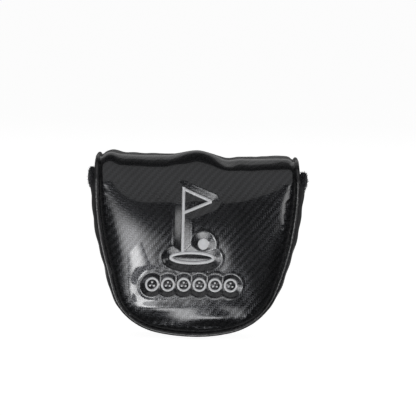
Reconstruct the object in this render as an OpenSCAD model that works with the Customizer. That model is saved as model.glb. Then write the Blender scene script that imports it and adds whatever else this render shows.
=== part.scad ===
// Head cover for a mallet putter. A padded front panel wraps over the top and comes down the back as a flap.
// A gusset joins it to a back panel, and a knitted elastic cuff edges the mouth between them.
// Frame: X across the cover, Y from the front panel to the back, Z up. The origin is the pocket's middle.

/* [Outline] */
// Height from the bottom seam to the top of the fold
cover_height = 113; // [111:1:117]
// Radius of the seam along the bottom
bottom_radius = 92; // [90:1:94]
// Angle at which the bottom meets the corner
bottom_turn = 14.3; // [13.5:0.1:15]
// Radius of the lower corners
corner_radius = 41; // [40:0.5:42]
// Angle at which the corner meets the side
corner_turn = 68.5; // [68:0.5:69]
// Radius of the slightly bowed sides
side_radius = 184; // [182:1:186]

/* [Depth] */
// Distance between the front and back seams
seam_depth = 32; // [30:1:34]
// How far the front panel stands proud of its seam
front_crown = 9; // [6:0.5:10]
// How far the back panel stands proud of its seam
back_crown = 4.5; // [2:0.5:4.5]
// How far the gusset bows out at the bottom
gusset_bow_low = 2.5; // [1:0.5:3]
// How far the gusset bows out beside the mouth
gusset_bow_high = 5; // [3:0.5:6]

/* [Layers] */
// Thickness of the coated outer material
shell_t = 1.2; // [0.8:0.1:1.4]
// Thickness of the padding in the middle of a panel
foam_t = 4; // [3:0.5:4]
// Thickness of the padding in the gusset
gusset_foam_t = 2; // [1.5:0.5:2.5]
// Thickness of the plush lining
lining_t = 1.2; // [0.8:0.1:1.2]

/* [Piping] */
// Diameter of the piping
piping_d = 2.8; // [2.4:0.2:3]
// Diameter of the filler cord inside the piping
filler_d = 1.4; // [1:0.1:1.5]

/* [Top and flap] */
// Radius of the fold between the front panel and the top
front_fold_radius = 16; // [15:0.5:16.5]
// Radius of the fold between the top and the flap
back_fold_radius = 12; // [11.5:0.5:12.5]
// Half width of the top and flap at the piping
top_half_width = 59.5; // [59:0.5:60]
// Height of the flap below the back fold
flap_drop = 54; // [50:1:56]
// Radius of the flap's corners
flap_corner_radius = 18; // [17:0.5:19]

/* [Mouth] */
// Height of the cuff's middle at the front seam
cuff_front_z = 45; // [43:0.5:46]
// Height of the cuff's middle along the back panel
cuff_back_z = 31; // [29:0.5:32]
// Height of the knitted cuff
cuff_height = 9; // [8:0.5:10]
// Thickness of the knitted cuff
cuff_thickness = 4.8; // [4.5:0.1:5]

/* [Closure] */
// Width of the hook patch under the flap
hook_width = 66; // [50:1:70]
// Height of the hook patch
hook_height = 20; // [14:1:22]
// Thickness of the hook and of the loop patch
patch_t = 1; // [0.8:0.1:1.1]

/* [Embroidery] */
// How far the thread stands above the panel
thread_rise = 0.7; // [0.4:0.1:1]
// Width of an embroidered line
thread_line = 1.9; // [1.5:0.1:2.2]
// Number of little balls in the row below the emblem
ball_count = 6; // [4:1:6]

/* [Hidden] */
$fn = 64;

gap = 0.05;                                  // between neighbouring layers
piping_r = piping_d / 2;
half_depth = seam_depth / 2;
seam_z0 = -cover_height / 2;                 // the bottom seam
top_z = cover_height / 2;                    // the top of the fold
front_fold_z = top_z - front_fold_radius;    // where the front fold starts
back_fold_z = top_z - back_fold_radius;      // where the back fold ends
front_fold_y = -4;                           // where the front fold ends and the top begins
back_fold_y = 17;                            // where the top ends and the back fold begins
flap_y = back_fold_y + back_fold_radius;     // the flap's outer face
hinge_turn = 45;                             // both folds hinge half way round
hinge_gap = 0.25;                            // degrees between the solids on either side of a hinge
sheet_inset = piping_r + 0.25;               // from the piping's centre to the edge of the top and flap
sheet_half_width = top_half_width - sheet_inset;
back_top_z = cuff_back_z - cuff_height / 2 - 2 * gap;
seam_inset = piping_r + 0.1;                 // from the piping's centre to a panel's edge
edge_foam_t = 0.8;                           // padding where it is pinched into a seam
backing_t = 0.35;                            // stiffener behind the embroidery

seam_radii = [bottom_radius, corner_radius, side_radius];
seam_turns = [bottom_turn, corner_turn, 90];

// The flap's outline: a shallow arc along its edge, a corner, and a straight side that meets the top's width.
flap_edge_turn = 16;
flap_side_turn = 83.5;
flap_side_rise = flap_drop - gap - flap_corner_radius * (1 - cos(flap_side_turn));
flap_edge_radius = flap_corner_radius
    + (top_half_width - flap_corner_radius * sin(flap_side_turn) - flap_side_rise / tan(flap_side_turn))
    / (sin(flap_edge_turn) - (1 - cos(flap_edge_turn)) / tan(flap_side_turn));
flap_radii = [flap_edge_radius, flap_corner_radius];
flap_turns = [flap_edge_turn, flap_side_turn];

leather = [0.07, 0.07, 0.08];
carbon = [0.12, 0.12, 0.13];
padding = [0.55, 0.56, 0.58];
plush = [0.2, 0.2, 0.22];
knit = [0.03, 0.03, 0.035];
thread = [0.9, 0.9, 0.9];

// ---- Curves ----

function down(a) = [sin(a), -cos(a)];
function mix(a, b, t) = a + (b - a) * t;
function steps(n) = [for (i = [0:n]) i / n];
function unit(v) = v / norm(v);

// A chain of arcs that starts flat at the bottom and turns up to the right: a point where it has turned by a.
function chain_centre(radii, turns, i) = i == 0
    ? [0, radii[0]]
    : chain_centre(radii, turns, i - 1) + (radii[i - 1] - radii[i]) * down(turns[i - 1]);
function chain_arc(turns, a, i = 0) = a <= turns[i] || i == len(turns) - 1 ? i : chain_arc(turns, a, i + 1);
function chain_point(radii, turns, a, inset = 0) =
    let (i = chain_arc(turns, a))
    chain_centre(radii, turns, i) + (radii[i] - inset) * down(a);

function seam_point(a, inset = 0) = chain_point(seam_radii, seam_turns, a, inset) + [0, seam_z0];
// Half width of the seam outline at a height above the corners.
function side_x(z, inset = 0) =
    let (c = chain_centre(seam_radii, seam_turns, 2), below = max(0, c[1] + seam_z0 - z))
    c[0] + sqrt(pow(side_radius - inset, 2) - below * below);

// Rows of [half width, height] up a panel, from the bottom seam to z_end.
low_turns = [3, 8, bottom_turn, 25, 36, 47, 58, corner_turn];
function panel_rows(inset, z_end, n) =
    let (low = [for (a = low_turns) seam_point(a, inset)], z_start = low[len(low) - 1][1])
    concat(
        [for (p = low) [p[0], p[1]]],
        [for (i = [1:n]) let (z = mix(z_start, z_end, i / n)) [side_x(z, inset), z]]
    );
columns = [for (s = steps(12)) sin(90 * (2 * s - 1))];

function height_share(z, z_end) = min(1, max(0, (z - seam_z0) / (z_end - seam_z0)));
function side_swell(u) = 1 - pow(abs(u), 3);
function low_swell(t) = 1 - pow(1 - t, 2.6);

// ---- The sheet: front panel, folds, top and flap ----

function front_edge(u, z) =
    let (t = height_share(z, front_fold_z))
    -(half_depth + piping_r + front_crown * side_swell(u) * low_swell(t) * (1 - 0.75 * pow(t, 3)));
function flap_point(a, inset) = chain_point(flap_radii, flap_turns, a, inset) + [0, back_fold_z - flap_drop];
function flap_side_x(z, inset) =
    let (p = flap_point(flap_side_turn, inset))
    p[0] + (z - p[1]) / tan(flap_side_turn);

// Rows of the sheet in order from the bottom seam to the flap's edge. Each is [stretch, value, half width]:
// the value is a height on the front and the flap, an angle in the folds and a depth on the top.
ON_FRONT = 0;
IN_FRONT_FOLD = 1;
ON_TOP = 2;
IN_BACK_FOLD = 3;
ON_FLAP = 4;
// In the front fold the sheet narrows late and roundly to the width of the top.
function front_half_width(b, at_seam, at_top) = mix(at_seam, at_top, 1 - sqrt(cos(b)));
front_fold_rows = function(turns) [
    for (b = turns)
        [IN_FRONT_FOLD, b, front_half_width(b, side_x(front_fold_z, seam_inset), sheet_half_width)]
];
back_fold_rows = function(turns) [for (b = turns) [IN_BACK_FOLD, b, sheet_half_width]];
before_hinge = [15, 30, hinge_turn];
after_hinge = [hinge_turn + hinge_gap, 60, 73, 83, 90];
flap_side_z = [35, 24];
front_rows = concat(
    [for (r = panel_rows(seam_inset, front_fold_z, 6)) [ON_FRONT, r[1], r[0]]],
    front_fold_rows(before_hinge)
);
top_rows = concat(
    front_fold_rows(after_hinge),
    [[ON_TOP, (front_fold_y + back_fold_y) / 2, sheet_half_width], [ON_TOP, back_fold_y, sheet_half_width]],
    back_fold_rows(before_hinge)
);
flap_rows = concat(
    back_fold_rows(after_hinge),
    [for (z = flap_side_z) [ON_FLAP, z, flap_side_x(z, sheet_inset)]],
    [
        for (a = [flap_side_turn, 70, 56, 43, 29, flap_edge_turn, 10, 5, 2])
            let (p = flap_point(a, sheet_inset))
            [ON_FLAP, p[1], p[0]]
    ]
);

// How much of the padding's extra thickness a row has: all of it on the front, a quarter on the top and flap.
top_swell = 0.25;
function row_swell(row) =
    row[0] == ON_FRONT ? low_swell(height_share(row[1], front_fold_z))
    : row[0] == IN_FRONT_FOLD ? mix(1, top_swell, 1 - cos(row[1]))
    : top_swell;
function sheet_point(u, row, d) =
    let (x = u * row[2], b = row[1], front_r = front_fold_radius - d, back_r = back_fold_radius - d)
    row[0] == ON_FRONT ? [x, front_edge(u, row[1]) + d, row[1]]
    : row[0] == IN_FRONT_FOLD
        ? [x, mix(front_edge(u, front_fold_z) + d, front_fold_y, 1 - cos(b)), front_fold_z + front_r * sin(b)]
    : row[0] == ON_TOP ? [x, row[1], top_z - d]
    : row[0] == IN_BACK_FOLD ? [x, back_fold_y + back_r * sin(b), back_fold_z + back_r * cos(b)]
    : [x, flap_y - d, row[1]];
// depth is [constant part, part that swells towards the middle of the sheet].
function sheet_grid(rows, depth) = [
    for (row = rows) [
        for (u = columns) sheet_point(u, row, depth[0] + depth[1] * side_swell(u) * row_swell(row))
    ]
];

swell_t = foam_t - edge_foam_t;
backing_d = shell_t + gap;
foam_d = backing_d + backing_t + gap;
sheet_lining_d = foam_d + edge_foam_t + gap;
sheet_t = sheet_lining_d + lining_t + top_swell * swell_t;   // the whole flap, at its thickest

module sheet_shell(rows) color(carbon) slab(sheet_grid(rows, [0, 0]), sheet_grid(rows, [shell_t, 0]));
module sheet_foam(rows) color(padding) slab(
    sheet_grid(rows, [foam_d, 0]),
    sheet_grid(rows, [foam_d + edge_foam_t, swell_t])
);
module sheet_lining(rows) color(plush) slab(
    sheet_grid(rows, [sheet_lining_d, swell_t]),
    sheet_grid(rows, [sheet_lining_d + lining_t, swell_t])
);
module front_shell() sheet_shell(front_rows);
module front_foam() sheet_foam(front_rows);
module front_lining() sheet_lining(front_rows);
module top_shell() sheet_shell(top_rows);
module top_foam() sheet_foam(top_rows);
module top_lining() sheet_lining(top_rows);
module flap_shell() sheet_shell(flap_rows);
module flap_foam() sheet_foam(flap_rows);
module flap_lining() sheet_lining(flap_rows);

// ---- Embroidery ----

embroidery_x = -2.5;                         // the embroidery's middle
emblem_z = [-6.5, 37.5];                     // foot and tip of the flagstick
ball_row_z = -23.5;
ball_pitch = 9.8;
ball_r = 4.3;

// The stiffener covers the middle columns of the panel, from below the row of balls to the front fold.
function backing_grid(d) =
    let (grid = sheet_grid(front_rows, [d, 0]))
    [for (i = [len(low_turns) - 2:len(low_turns) + 5]) [for (j = [4:8]) grid[i][j]]];
module on_front() intersection() {
    slab(sheet_grid(front_rows, [-thread_rise, 0]), sheet_grid(front_rows, [shell_t / 2, 0]));
    translate([embroidery_x, 0, 0]) rotate([90, 0, 0]) linear_extrude(cover_height) children();
}
module embroidery_backing() color("white") slab(backing_grid(backing_d), backing_grid(backing_d + backing_t));

// A pennant on a stick that stands in an oval green, with a ball beside it.
stick_x = -6;
flag_length = 20;
flag_drop = 17;
green_half = [14.5, 4.2];
module oval(half) polygon([for (i = [0:31]) [half[0] * cos(11.25 * i), half[1] * sin(11.25 * i)]]);
module ring(r) difference() {
    circle(r, $fn = 24);
    circle(r - 1.2, $fn = 24);
}
module emblem_embroidery() color(thread) on_front() {
    translate([stick_x - thread_line / 2, emblem_z[0]]) square([thread_line, emblem_z[1] - emblem_z[0]]);
    difference() {
        polygon([[stick_x, emblem_z[1]], [stick_x + flag_length, emblem_z[1] - flag_drop / 2],
            [stick_x, emblem_z[1] - flag_drop]]);
        translate([stick_x + thread_line / 2, emblem_z[1] - flag_drop / 2]) polygon([
            [0, flag_drop / 2 - 1.6 * thread_line],
            [flag_length - 3.6 * thread_line, 0],
            [0, 1.6 * thread_line - flag_drop / 2]
        ]);
    }
    translate([0, emblem_z[0]]) difference() {
        oval(green_half);
        oval([green_half[0] - thread_line, green_half[1] - thread_line]);
        translate([stick_x - thread_line / 2, -thread_line]) square([thread_line, thread_line]);
    }
    translate([7, emblem_z[0] + green_half[1] + 4.6]) circle(3.6, $fn = 24);
}
module row_embroidery() color(thread) on_front()
    for (i = [0:ball_count - 1]) translate([(i - (ball_count - 1) / 2) * ball_pitch, ball_row_z]) {
        ring(ball_r);
        for (a = [90, 210, 330]) rotate(a) translate([1.4, 0]) circle(0.5, $fn = 8);
    }

// ---- Back panel ----

function back_edge(u, z) =
    half_depth + piping_r + back_crown * side_swell(u) * low_swell(height_share(z, back_top_z));
function back_grid(depth) = [
    for (row = panel_rows(seam_inset, back_top_z, 5)) [
        for (u = columns)
            let (t = height_share(row[1], back_top_z))
            [-u * row[0], back_edge(u, row[1]) - depth[0] - depth[1] * side_swell(u) * low_swell(t), row[1]]
    ]
];
back_swell_t = foam_t / 2;
back_foam_d = shell_t + gap;
back_lining_d = back_foam_d + edge_foam_t + gap;

module back_shell() color(leather) slab(back_grid([0, 0]), back_grid([shell_t, 0]));
module back_foam() color(padding) slab(
    back_grid([back_foam_d, 0]),
    back_grid([back_foam_d + edge_foam_t, back_swell_t])
);
module back_lining() color(plush) slab(
    back_grid([back_lining_d, back_swell_t]),
    back_grid([back_lining_d + lining_t, back_swell_t])
);

patch_z = -1;                                // lower edge of the hook patch
loop_margin = 2;                             // loop patch showing past the hook patch on each side
function loop_grid(d) = [
    for (z = [for (s = steps(4)) mix(patch_z - loop_margin, patch_z + hook_height + loop_margin, s)]) [
        for (s = steps(10))
            let (x = mix(1, -1, s) * (hook_width / 2 + loop_margin))
            [x, back_edge(x / side_x(z, seam_inset), z) + d, z]
    ]
];
module loop_patch() color(knit) slab(loop_grid(gap + patch_t), loop_grid(gap));

// ---- Gusset ----

gusset_reach = half_depth - piping_r - gap;  // from the middle of the gusset to its edges
gusset_inner_reach = half_depth - 2.5;       // its padding and lining stop at the panels' linings
function cuff_z(y) = mix(cuff_front_z, cuff_back_z, (y / gusset_reach + 1) / 2);
function gusset_bow(y, z) =
    let (t = height_share(z, cuff_front_z), across = y / gusset_reach)
    mix(gusset_bow_low, gusset_bow_high, pow(t, 1.5)) * (1 - across * across);
// A point of the gusset, d below its outer face. s is from 0 at the bottom to 1 at its top edge.
gusset_low_turns = [0, 8, bottom_turn, 25, 36, 47, 58, corner_turn];
gusset_side_rows = 5;
function gusset_point(i, side, y, d) =
    let (
        n = len(gusset_low_turns),
        low = seam_point(gusset_low_turns[min(i, n - 1)], 0),
        top = cuff_z(y) - cuff_height / 2 - 2 * gap,
        start = seam_point(corner_turn, 0)[1],
        z = i < n ? low[1] : mix(start, top, (i - n + 1) / gusset_side_rows),
        inset = d - gusset_bow(y, z),
        p = i < n ? seam_point(gusset_low_turns[i], inset) : [side_x(z, inset), z]
    )
    [side * p[0], y, p[1]];
gusset_last = len(gusset_low_turns) - 1 + gusset_side_rows;
function gusset_grid(d, reach) = [
    for (i = [-gusset_last:gusset_last]) [
        for (s = steps(6)) gusset_point(abs(i), i < 0 ? -1 : 1, mix(-reach, reach, s), d)
    ]
];
gusset_foam_d = shell_t + 4 * gap;           // the bowed shell's facets dip towards it
gusset_lining_d = gusset_foam_d + gusset_foam_t + gap;
module gusset_layer(d, t, reach) slab(gusset_grid(d, reach), gusset_grid(d + t, reach));
module gusset_shell() color(leather) gusset_layer(0, shell_t, gusset_reach);
module gusset_foam() color(padding) gusset_layer(gusset_foam_d, gusset_foam_t, gusset_inner_reach);
module gusset_lining() color(plush) gusset_layer(gusset_lining_d, lining_t, gusset_inner_reach);

// ---- Piping ----

function turns_to(last) = [0, 5, 10, bottom_turn, 21, 28, 35, 42, 49, 56, 62, last];
function mirrored(half) = concat(
    [for (i = [len(half) - 1:-1:1]) [-half[i][0], half[i][1], half[i][2]]],
    half
);
function seam_path(y, z_end, n) =
    let (start = seam_point(corner_turn)[1])
    concat(
        [for (a = turns_to(corner_turn)) let (p = seam_point(a)) [p[0], y, p[1]]],
        [for (i = [1:n]) let (z = mix(start, z_end, i / n)) [side_x(z), y, z]]
    );
// Over the front fold the piping comes in to the top's width.
function front_fold_path(turns) = [
    for (b = turns) [
        front_half_width(b, side_x(front_fold_z), top_half_width),
        mix(-half_depth, front_fold_y, 1 - cos(b)),
        front_fold_z + (front_fold_radius - piping_r) * sin(b)
    ]
];
function back_fold_path(turns) = [
    for (b = turns) [
        top_half_width,
        back_fold_y + (back_fold_radius - piping_r) * sin(b),
        back_fold_z + (back_fold_radius - piping_r) * cos(b)
    ]
];
function reversed(list) = [for (i = [len(list) - 1:-1:0]) list[i]];
front_path = mirrored(concat(seam_path(-half_depth, front_fold_z, 6), front_fold_path(before_hinge)));
back_path = mirrored(seam_path(half_depth, back_top_z, 5));
top_path = concat(
    front_fold_path(after_hinge),
    [for (y = [(front_fold_y + back_fold_y) / 2, back_fold_y]) [top_half_width, y, top_z - piping_r]],
    back_fold_path(before_hinge)
);
flap_path = mirrored(concat(
    [
        for (a = [0, 8, flap_edge_turn, 29.5, 43, 56.5, 70, flap_side_turn])
            let (p = flap_point(a, 0))
            [p[0], flap_y - piping_r, p[1]]
    ],
    [for (z = reversed(flap_side_z)) [flap_side_x(z, 0), flap_y - piping_r, z]],
    back_fold_path(reversed(after_hinge))
));

tube_sides = 8;
function tangents(path, ends) =
    let (last = len(path) - 1)
    [for (i = [0:last]) i == 0 ? ends[0] : i == last ? ends[1] : unit(path[i + 1] - path[i - 1])];
// Cross-section directions carried along a path without twist.
function carried(t, n) = unit(n - (n * t) * t);
function frames(t) = [
    for (i = 0, n = carried(t[0], [1, 0, 0]); i < len(t); i = i + 1, n = i < len(t) ? carried(t[i], n) : n) n
];
// A path's ends are cut square to the directions in ends.
function rings(path, r, ends) =
    let (t = tangents(path, ends), n = frames(t))
    [
        for (i = [0:len(path) - 1])
            [
                for (k = [0:tube_sides - 1])
                    let (a = 360 * k / tube_sides)
                    path[i] + r * (cos(a) * n[i] + sin(a) * cross(t[i], n[i]))
            ]
    ];
module piping(path, ends) color(leather) hollow(
    rings(path, piping_r, ends),
    rings(path, filler_d / 2 + 0.1, ends)
);
module filler(path, ends) color("white") solid_tube(rings(path, filler_d / 2, ends));

into_top = [0, cos(hinge_turn), sin(hinge_turn)];
into_flap = [0, cos(hinge_turn), -sin(hinge_turn)];
front_ends = [-into_top, into_top];
back_ends = [[0, 0, -1], [0, 0, 1]];
top_ends = [into_top, into_flap];
flap_ends = [into_flap, -into_flap];
module both_sides() for (side = [0, 1]) mirror([side, 0, 0]) children();
module front_piping() piping(front_path, front_ends);
module front_piping_cord() filler(front_path, front_ends);
module back_piping() piping(back_path, back_ends);
module back_piping_cord() filler(back_path, back_ends);
module top_piping() both_sides() piping(top_path, top_ends);
module top_piping_cord() both_sides() filler(top_path, top_ends);
module flap_piping() piping(flap_path, flap_ends);
module flap_piping_cord() filler(flap_path, flap_ends);

// ---- Mouth ----

cuff_out = 2.5;                              // how far the cuff stands outside the gusset's own line
cuff_corner = 7;                             // radius of the cuff where it turns from the gusset to the back
cuff_front_y = -half_depth + 3.4;            // where the cuff starts, behind the piping
function cuff_side_x(y) = side_x(cuff_z(y)) + gusset_bow(y, cuff_z(y)) + cuff_out - cuff_thickness / 2;
cuff_turn_y = half_depth - cuff_corner;
cuff_turn_x = cuff_side_x(cuff_turn_y) - cuff_corner;
cuff_back_y = half_depth - 1;
// Stations round the mouth: a point and the direction that faces outwards there.
function cuff_half() = concat(
    [
        for (s = [0.25, 0.5, 0.75, 1])
            let (x = mix(0, cuff_turn_x, s))
            [[x, cuff_back_y + back_crown * side_swell(x / side_x(cuff_back_z)), cuff_back_z], 90]
    ],
    [
        for (b = [65, 40, 15])
            let (y = cuff_turn_y + (cuff_corner + 0.6) * sin(b))
            [[cuff_turn_x + cuff_corner * cos(b), y, cuff_z(min(y, gusset_reach))], b]
    ],
    [
        for (s = steps(6))
            let (y = mix(cuff_turn_y, cuff_front_y, s))
            [[cuff_side_x(y), y, cuff_z(y)], 0]
    ]
);
cuff_right = cuff_half();
cuff_left = [for (s = reversed(cuff_right)) [[-s[0][0], s[0][1], s[0][2]], 180 - s[1]]];
cuff_middle = [[0, cuff_back_y + back_crown, cuff_back_z], 90];
cuff_stations = concat(cuff_left, [cuff_middle], cuff_right);
// Upright ellipses round the mouth, half_t thick outwards and half_h high.
cuff_sides = 10;
function cuff_rings(half_t, half_h) = [
    for (station = cuff_stations) [
        for (k = [0:cuff_sides - 1])
            let (a = 360 * k / cuff_sides)
            station[0] + half_t * cos(a) * [cos(station[1]), sin(station[1]), 0] + half_h * sin(a) * [0, 0, 1]
    ]
];
elastic_half = [0.8, 3.2];                   // half thickness and half height of the flat elastic in the cuff
module mouth_cuff() color(knit) hollow(
    cuff_rings(cuff_thickness / 2, cuff_height / 2),
    cuff_rings(elastic_half[0] + 0.1, elastic_half[1] + 0.1)
);
module mouth_elastic() color("dimgray") solid_tube(cuff_rings(elastic_half[0], elastic_half[1]));

// ---- Hook patch ----

module hook_patch() color(knit) translate([-hook_width / 2, flap_y - sheet_t - gap - patch_t, patch_z])
    cube([hook_width, patch_t, hook_height]);

// ---- Solids from rows of points ----

// A sheet between two grids of points. Seen from outside the first grid, rows run up and columns run right.
module slab(face, under) {
    rows = len(face);
    cols = len(face[0]);
    count = rows * cols;
    function at(side, i, j) = side * count + i * cols + j;
    function pair(a, b, c, d) = [[a, b, c], [a, c, d]];
    polyhedron(
        points = [for (grid = [face, under], row = grid, p = row) p],
        faces = [
            for (i = [0:rows - 2], j = [0:cols - 2]) each pair(
                at(0, i, j), at(0, i + 1, j), at(0, i + 1, j + 1), at(0, i, j + 1)
            ),
            for (i = [0:rows - 2], j = [0:cols - 2]) each pair(
                at(1, i, j), at(1, i, j + 1), at(1, i + 1, j + 1), at(1, i + 1, j)
            ),
            for (i = [0:rows - 2]) each pair(at(0, i, 0), at(1, i, 0), at(1, i + 1, 0), at(0, i + 1, 0)),
            for (i = [0:rows - 2]) each pair(
                at(0, i, cols - 1), at(0, i + 1, cols - 1), at(1, i + 1, cols - 1), at(1, i, cols - 1)
            ),
            for (j = [0:cols - 2]) each pair(at(0, 0, j), at(0, 0, j + 1), at(1, 0, j + 1), at(1, 0, j)),
            for (j = [0:cols - 2]) each pair(
                at(0, rows - 1, j), at(1, rows - 1, j), at(1, rows - 1, j + 1), at(0, rows - 1, j + 1)
            )
        ]
    );
}

// Quads between two neighbouring rings of points that start at index a and b.
function band(a, b, n) = [
    for (k = [0:n - 1]) let (m = (k + 1) % n) each [[a + k, b + k, b + m], [a + k, b + m, a + m]]
];
module solid_tube(r) {
    n = len(r[0]);
    last = (len(r) - 1) * n;
    polyhedron(
        points = [for (ring = r, p = ring) p],
        faces = [
            for (i = [0:len(r) - 2]) each band(i * n, (i + 1) * n, n),
            [for (k = [0:n - 1]) k],
            [for (k = [n - 1:-1:0]) last + k]
        ]
    );
}
module hollow(outer, inner) {
    n = len(outer[0]);
    count = len(outer) * n;
    last = count - n;
    polyhedron(
        points = [for (wall = [outer, inner], ring = wall, p = ring) p],
        faces = [
            for (i = [0:len(outer) - 2]) each band(i * n, (i + 1) * n, n),
            for (i = [0:len(outer) - 2]) each band(count + (i + 1) * n, count + i * n, n),
            each band(count, 0, n),
            each band(last, count + last, n)
        ]
    );
}

front_shell();
embroidery_backing();
front_foam();
front_lining();
emblem_embroidery();
row_embroidery();
front_piping();
front_piping_cord();
gusset_shell();
gusset_foam();
gusset_lining();
back_shell();
back_foam();
back_lining();
back_piping();
back_piping_cord();
mouth_cuff();
mouth_elastic();
loop_patch();
top_shell();
top_foam();
top_lining();
top_piping();
top_piping_cord();
flap_shell();
flap_foam();
flap_lining();
flap_piping();
flap_piping_cord();
hook_patch();
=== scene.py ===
"""Looks of a padded cover for a mallet putter head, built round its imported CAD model.

X runs across the cover, Y from the front panel to the back, Z up. Lengths are in millimetres until a mesh is
made, and in metres from there on. A piece's surface starts as a grid of points, of shape (rows, columns, 3).
"""

import math
import random

import bmesh
import bpy
import numpy as np
from mathutils import Euler, Matrix, Vector
from mathutils.bvhtree import BVHTree


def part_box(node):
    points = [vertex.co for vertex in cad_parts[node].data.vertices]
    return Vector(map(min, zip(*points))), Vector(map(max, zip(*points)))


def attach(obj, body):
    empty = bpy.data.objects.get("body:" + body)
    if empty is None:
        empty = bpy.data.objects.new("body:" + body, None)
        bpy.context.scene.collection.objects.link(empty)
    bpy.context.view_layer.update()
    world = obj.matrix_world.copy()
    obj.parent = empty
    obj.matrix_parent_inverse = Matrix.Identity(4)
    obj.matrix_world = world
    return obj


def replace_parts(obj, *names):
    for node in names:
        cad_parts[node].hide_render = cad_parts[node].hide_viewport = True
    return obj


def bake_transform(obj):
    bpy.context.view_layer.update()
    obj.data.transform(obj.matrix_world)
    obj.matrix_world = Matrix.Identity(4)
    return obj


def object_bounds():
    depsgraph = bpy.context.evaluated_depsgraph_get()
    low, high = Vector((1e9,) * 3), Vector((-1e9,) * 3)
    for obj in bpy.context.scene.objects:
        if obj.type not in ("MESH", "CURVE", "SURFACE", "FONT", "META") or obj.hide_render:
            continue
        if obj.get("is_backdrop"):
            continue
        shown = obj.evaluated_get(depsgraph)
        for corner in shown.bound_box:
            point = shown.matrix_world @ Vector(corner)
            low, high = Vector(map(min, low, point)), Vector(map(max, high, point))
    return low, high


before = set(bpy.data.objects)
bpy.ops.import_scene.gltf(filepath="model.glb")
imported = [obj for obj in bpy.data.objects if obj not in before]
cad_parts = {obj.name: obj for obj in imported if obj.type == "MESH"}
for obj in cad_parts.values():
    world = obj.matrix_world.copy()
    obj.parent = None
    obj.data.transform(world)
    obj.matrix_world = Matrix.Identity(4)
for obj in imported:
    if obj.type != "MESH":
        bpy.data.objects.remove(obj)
cad_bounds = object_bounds()

MM = 0.001


def box_mm(node):
    """The lowest and the highest corner of a CAD part, in millimetres."""
    return [np.array(corner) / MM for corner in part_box(node)]


# ---- Driving sizes, in millimetres ----

PIPING_R = 1.4
FILLER_R = 0.7
SHELL_T = 1.2
LINING_T = 1.2
PLY_GAP = 0.05                               # between the padding and the lining
SEAM_Y = 16.0                                # the front seam is at -SEAM_Y, the back seam at +SEAM_Y
SEAM_FOOT = box_mm("front_piping")[0][2] + PIPING_R
TOP_Z = box_mm("top_shell")[1][2]
FLAP_Y = box_mm("flap_shell")[1][1]
FLAP_FOOT = box_mm("flap_piping")[0][2] + PIPING_R
TOP_HALF_WIDTH = box_mm("top_piping")[1][0] - PIPING_R

# The seams' outline: radii of the bottom, corner and side arcs, and how far each has turned at its end.
SEAM_RADII = (92, 41, 184)
SEAM_TURNS = (14.3, 68.5, 90)
FLAP_RADII = (155.5, 18)
FLAP_TURNS = (16, 83.5)

FRONT_FOLD_R = 16
BACK_FOLD_R = 12
FOLD_START_Z = TOP_Z - FRONT_FOLD_R          # where the front panel starts to fold over
TOP_START_Y = -4.0                           # where the front fold ends and the top begins
TOP_END_Y = FLAP_Y - BACK_FOLD_R             # where the top ends and the back fold begins
FLAP_START_Z = TOP_Z - BACK_FOLD_R           # where the back fold ends and the flap begins

FRONT_REACH = 22.4                           # from the top's start forward to the front panel's middle
CROWN_POWER = 2.5                            # how late the front panel leans back on its way up
ROLL_HEIGHT = 3.4                            # the puffed edge beside the piping
ROLL_START = 1.8
ROLL_WIDTH = 0.95
TOP_ROLL = 1.4                               # how much wider the roll is on the top and the flap
DOME_WIDTH = 40.0
DOME_POWER = 2.2
TOP_PUFF = 0.4                               # how far the padded top swells above its middle line
BACKWARDS = np.array([0, 1.0, 0])
CORNER = 42.0                                # along the seam, from the bottom's middle to the patch's corner
FLAP_CORNER = 54.0                           # the same along the flap's edge

CELL = 0.62           # size of the leather's mesh


# ---- Curves ----

def smooth_step(value):
    t = np.clip(value, 0, 1)
    return t * t * (3 - 2 * t)


def mix(a, b, t):
    return a + (b - a) * t


class Line:
    """A dense line of points that gives the point at a distance along it."""

    def __init__(self, points):
        self.points = np.asarray(points, float)
        steps = np.linalg.norm(np.diff(self.points, axis=0), axis=1)
        self.distances = np.concatenate([[0], np.cumsum(steps)])
        self.length = self.distances[-1]

    def at(self, distance):
        return np.stack([np.interp(distance, self.distances, c) for c in self.points.T], axis=-1)

    def distance_at_height(self, z):
        return np.interp(z, self.points[:, -1], self.distances)


def arc_chain(radii, turns, foot, inset=0.0):
    """Points along arcs that start level at (0, foot) and turn up to the right, moved inwards by inset."""
    centre = np.array([0.0, foot + radii[0]])
    start = 0.0
    points = []
    for index, (radius, turn) in enumerate(zip(radii, np.radians(turns))):
        if index:
            centre = centre + (radii[index - 1] - radius) * np.array([math.sin(start), -math.cos(start)])
        angles = np.linspace(start, turn, 160)[bool(index):]
        points.append(centre + (radius - inset) * np.stack([np.sin(angles), -np.cos(angles)], axis=1))
        start = turn
    return np.concatenate(points)


def seam_line(top, inset=0.0):
    """The right half of a panel's outline as (x, z), from the middle of its bottom up to the height top."""
    arcs = arc_chain(SEAM_RADII, SEAM_TURNS, SEAM_FOOT, inset)
    side_x = np.interp(top, arcs[:, 1], arcs[:, 0])
    below = arcs[arcs[:, 1] < top - 1e-6]
    straight = np.linspace(below[-1, 1], top, 30)[1:]
    return Line(np.concatenate([below, np.stack([np.full_like(straight, side_x), straight], axis=1)]))


def flap_line(inset=0.0):
    arcs = arc_chain(FLAP_RADII, FLAP_TURNS, FLAP_FOOT, inset)
    side = np.linspace(0, 1, 60)[1:, None]
    return Line(np.concatenate([arcs, mix(arcs[-1], np.array([TOP_HALF_WIDTH - inset, FLAP_START_Z]), side)]))


def both_halves(right):
    """A line of points from a left end through the middle to a right end, mirrored from its right half."""
    left = right[::-1].copy()
    left[:, 0] *= -1
    return np.concatenate([left[:-1], right])


def in_plane(line, y):
    """Points (x, z) in the plane at y."""
    return np.insert(line, 1, y, axis=1)


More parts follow.
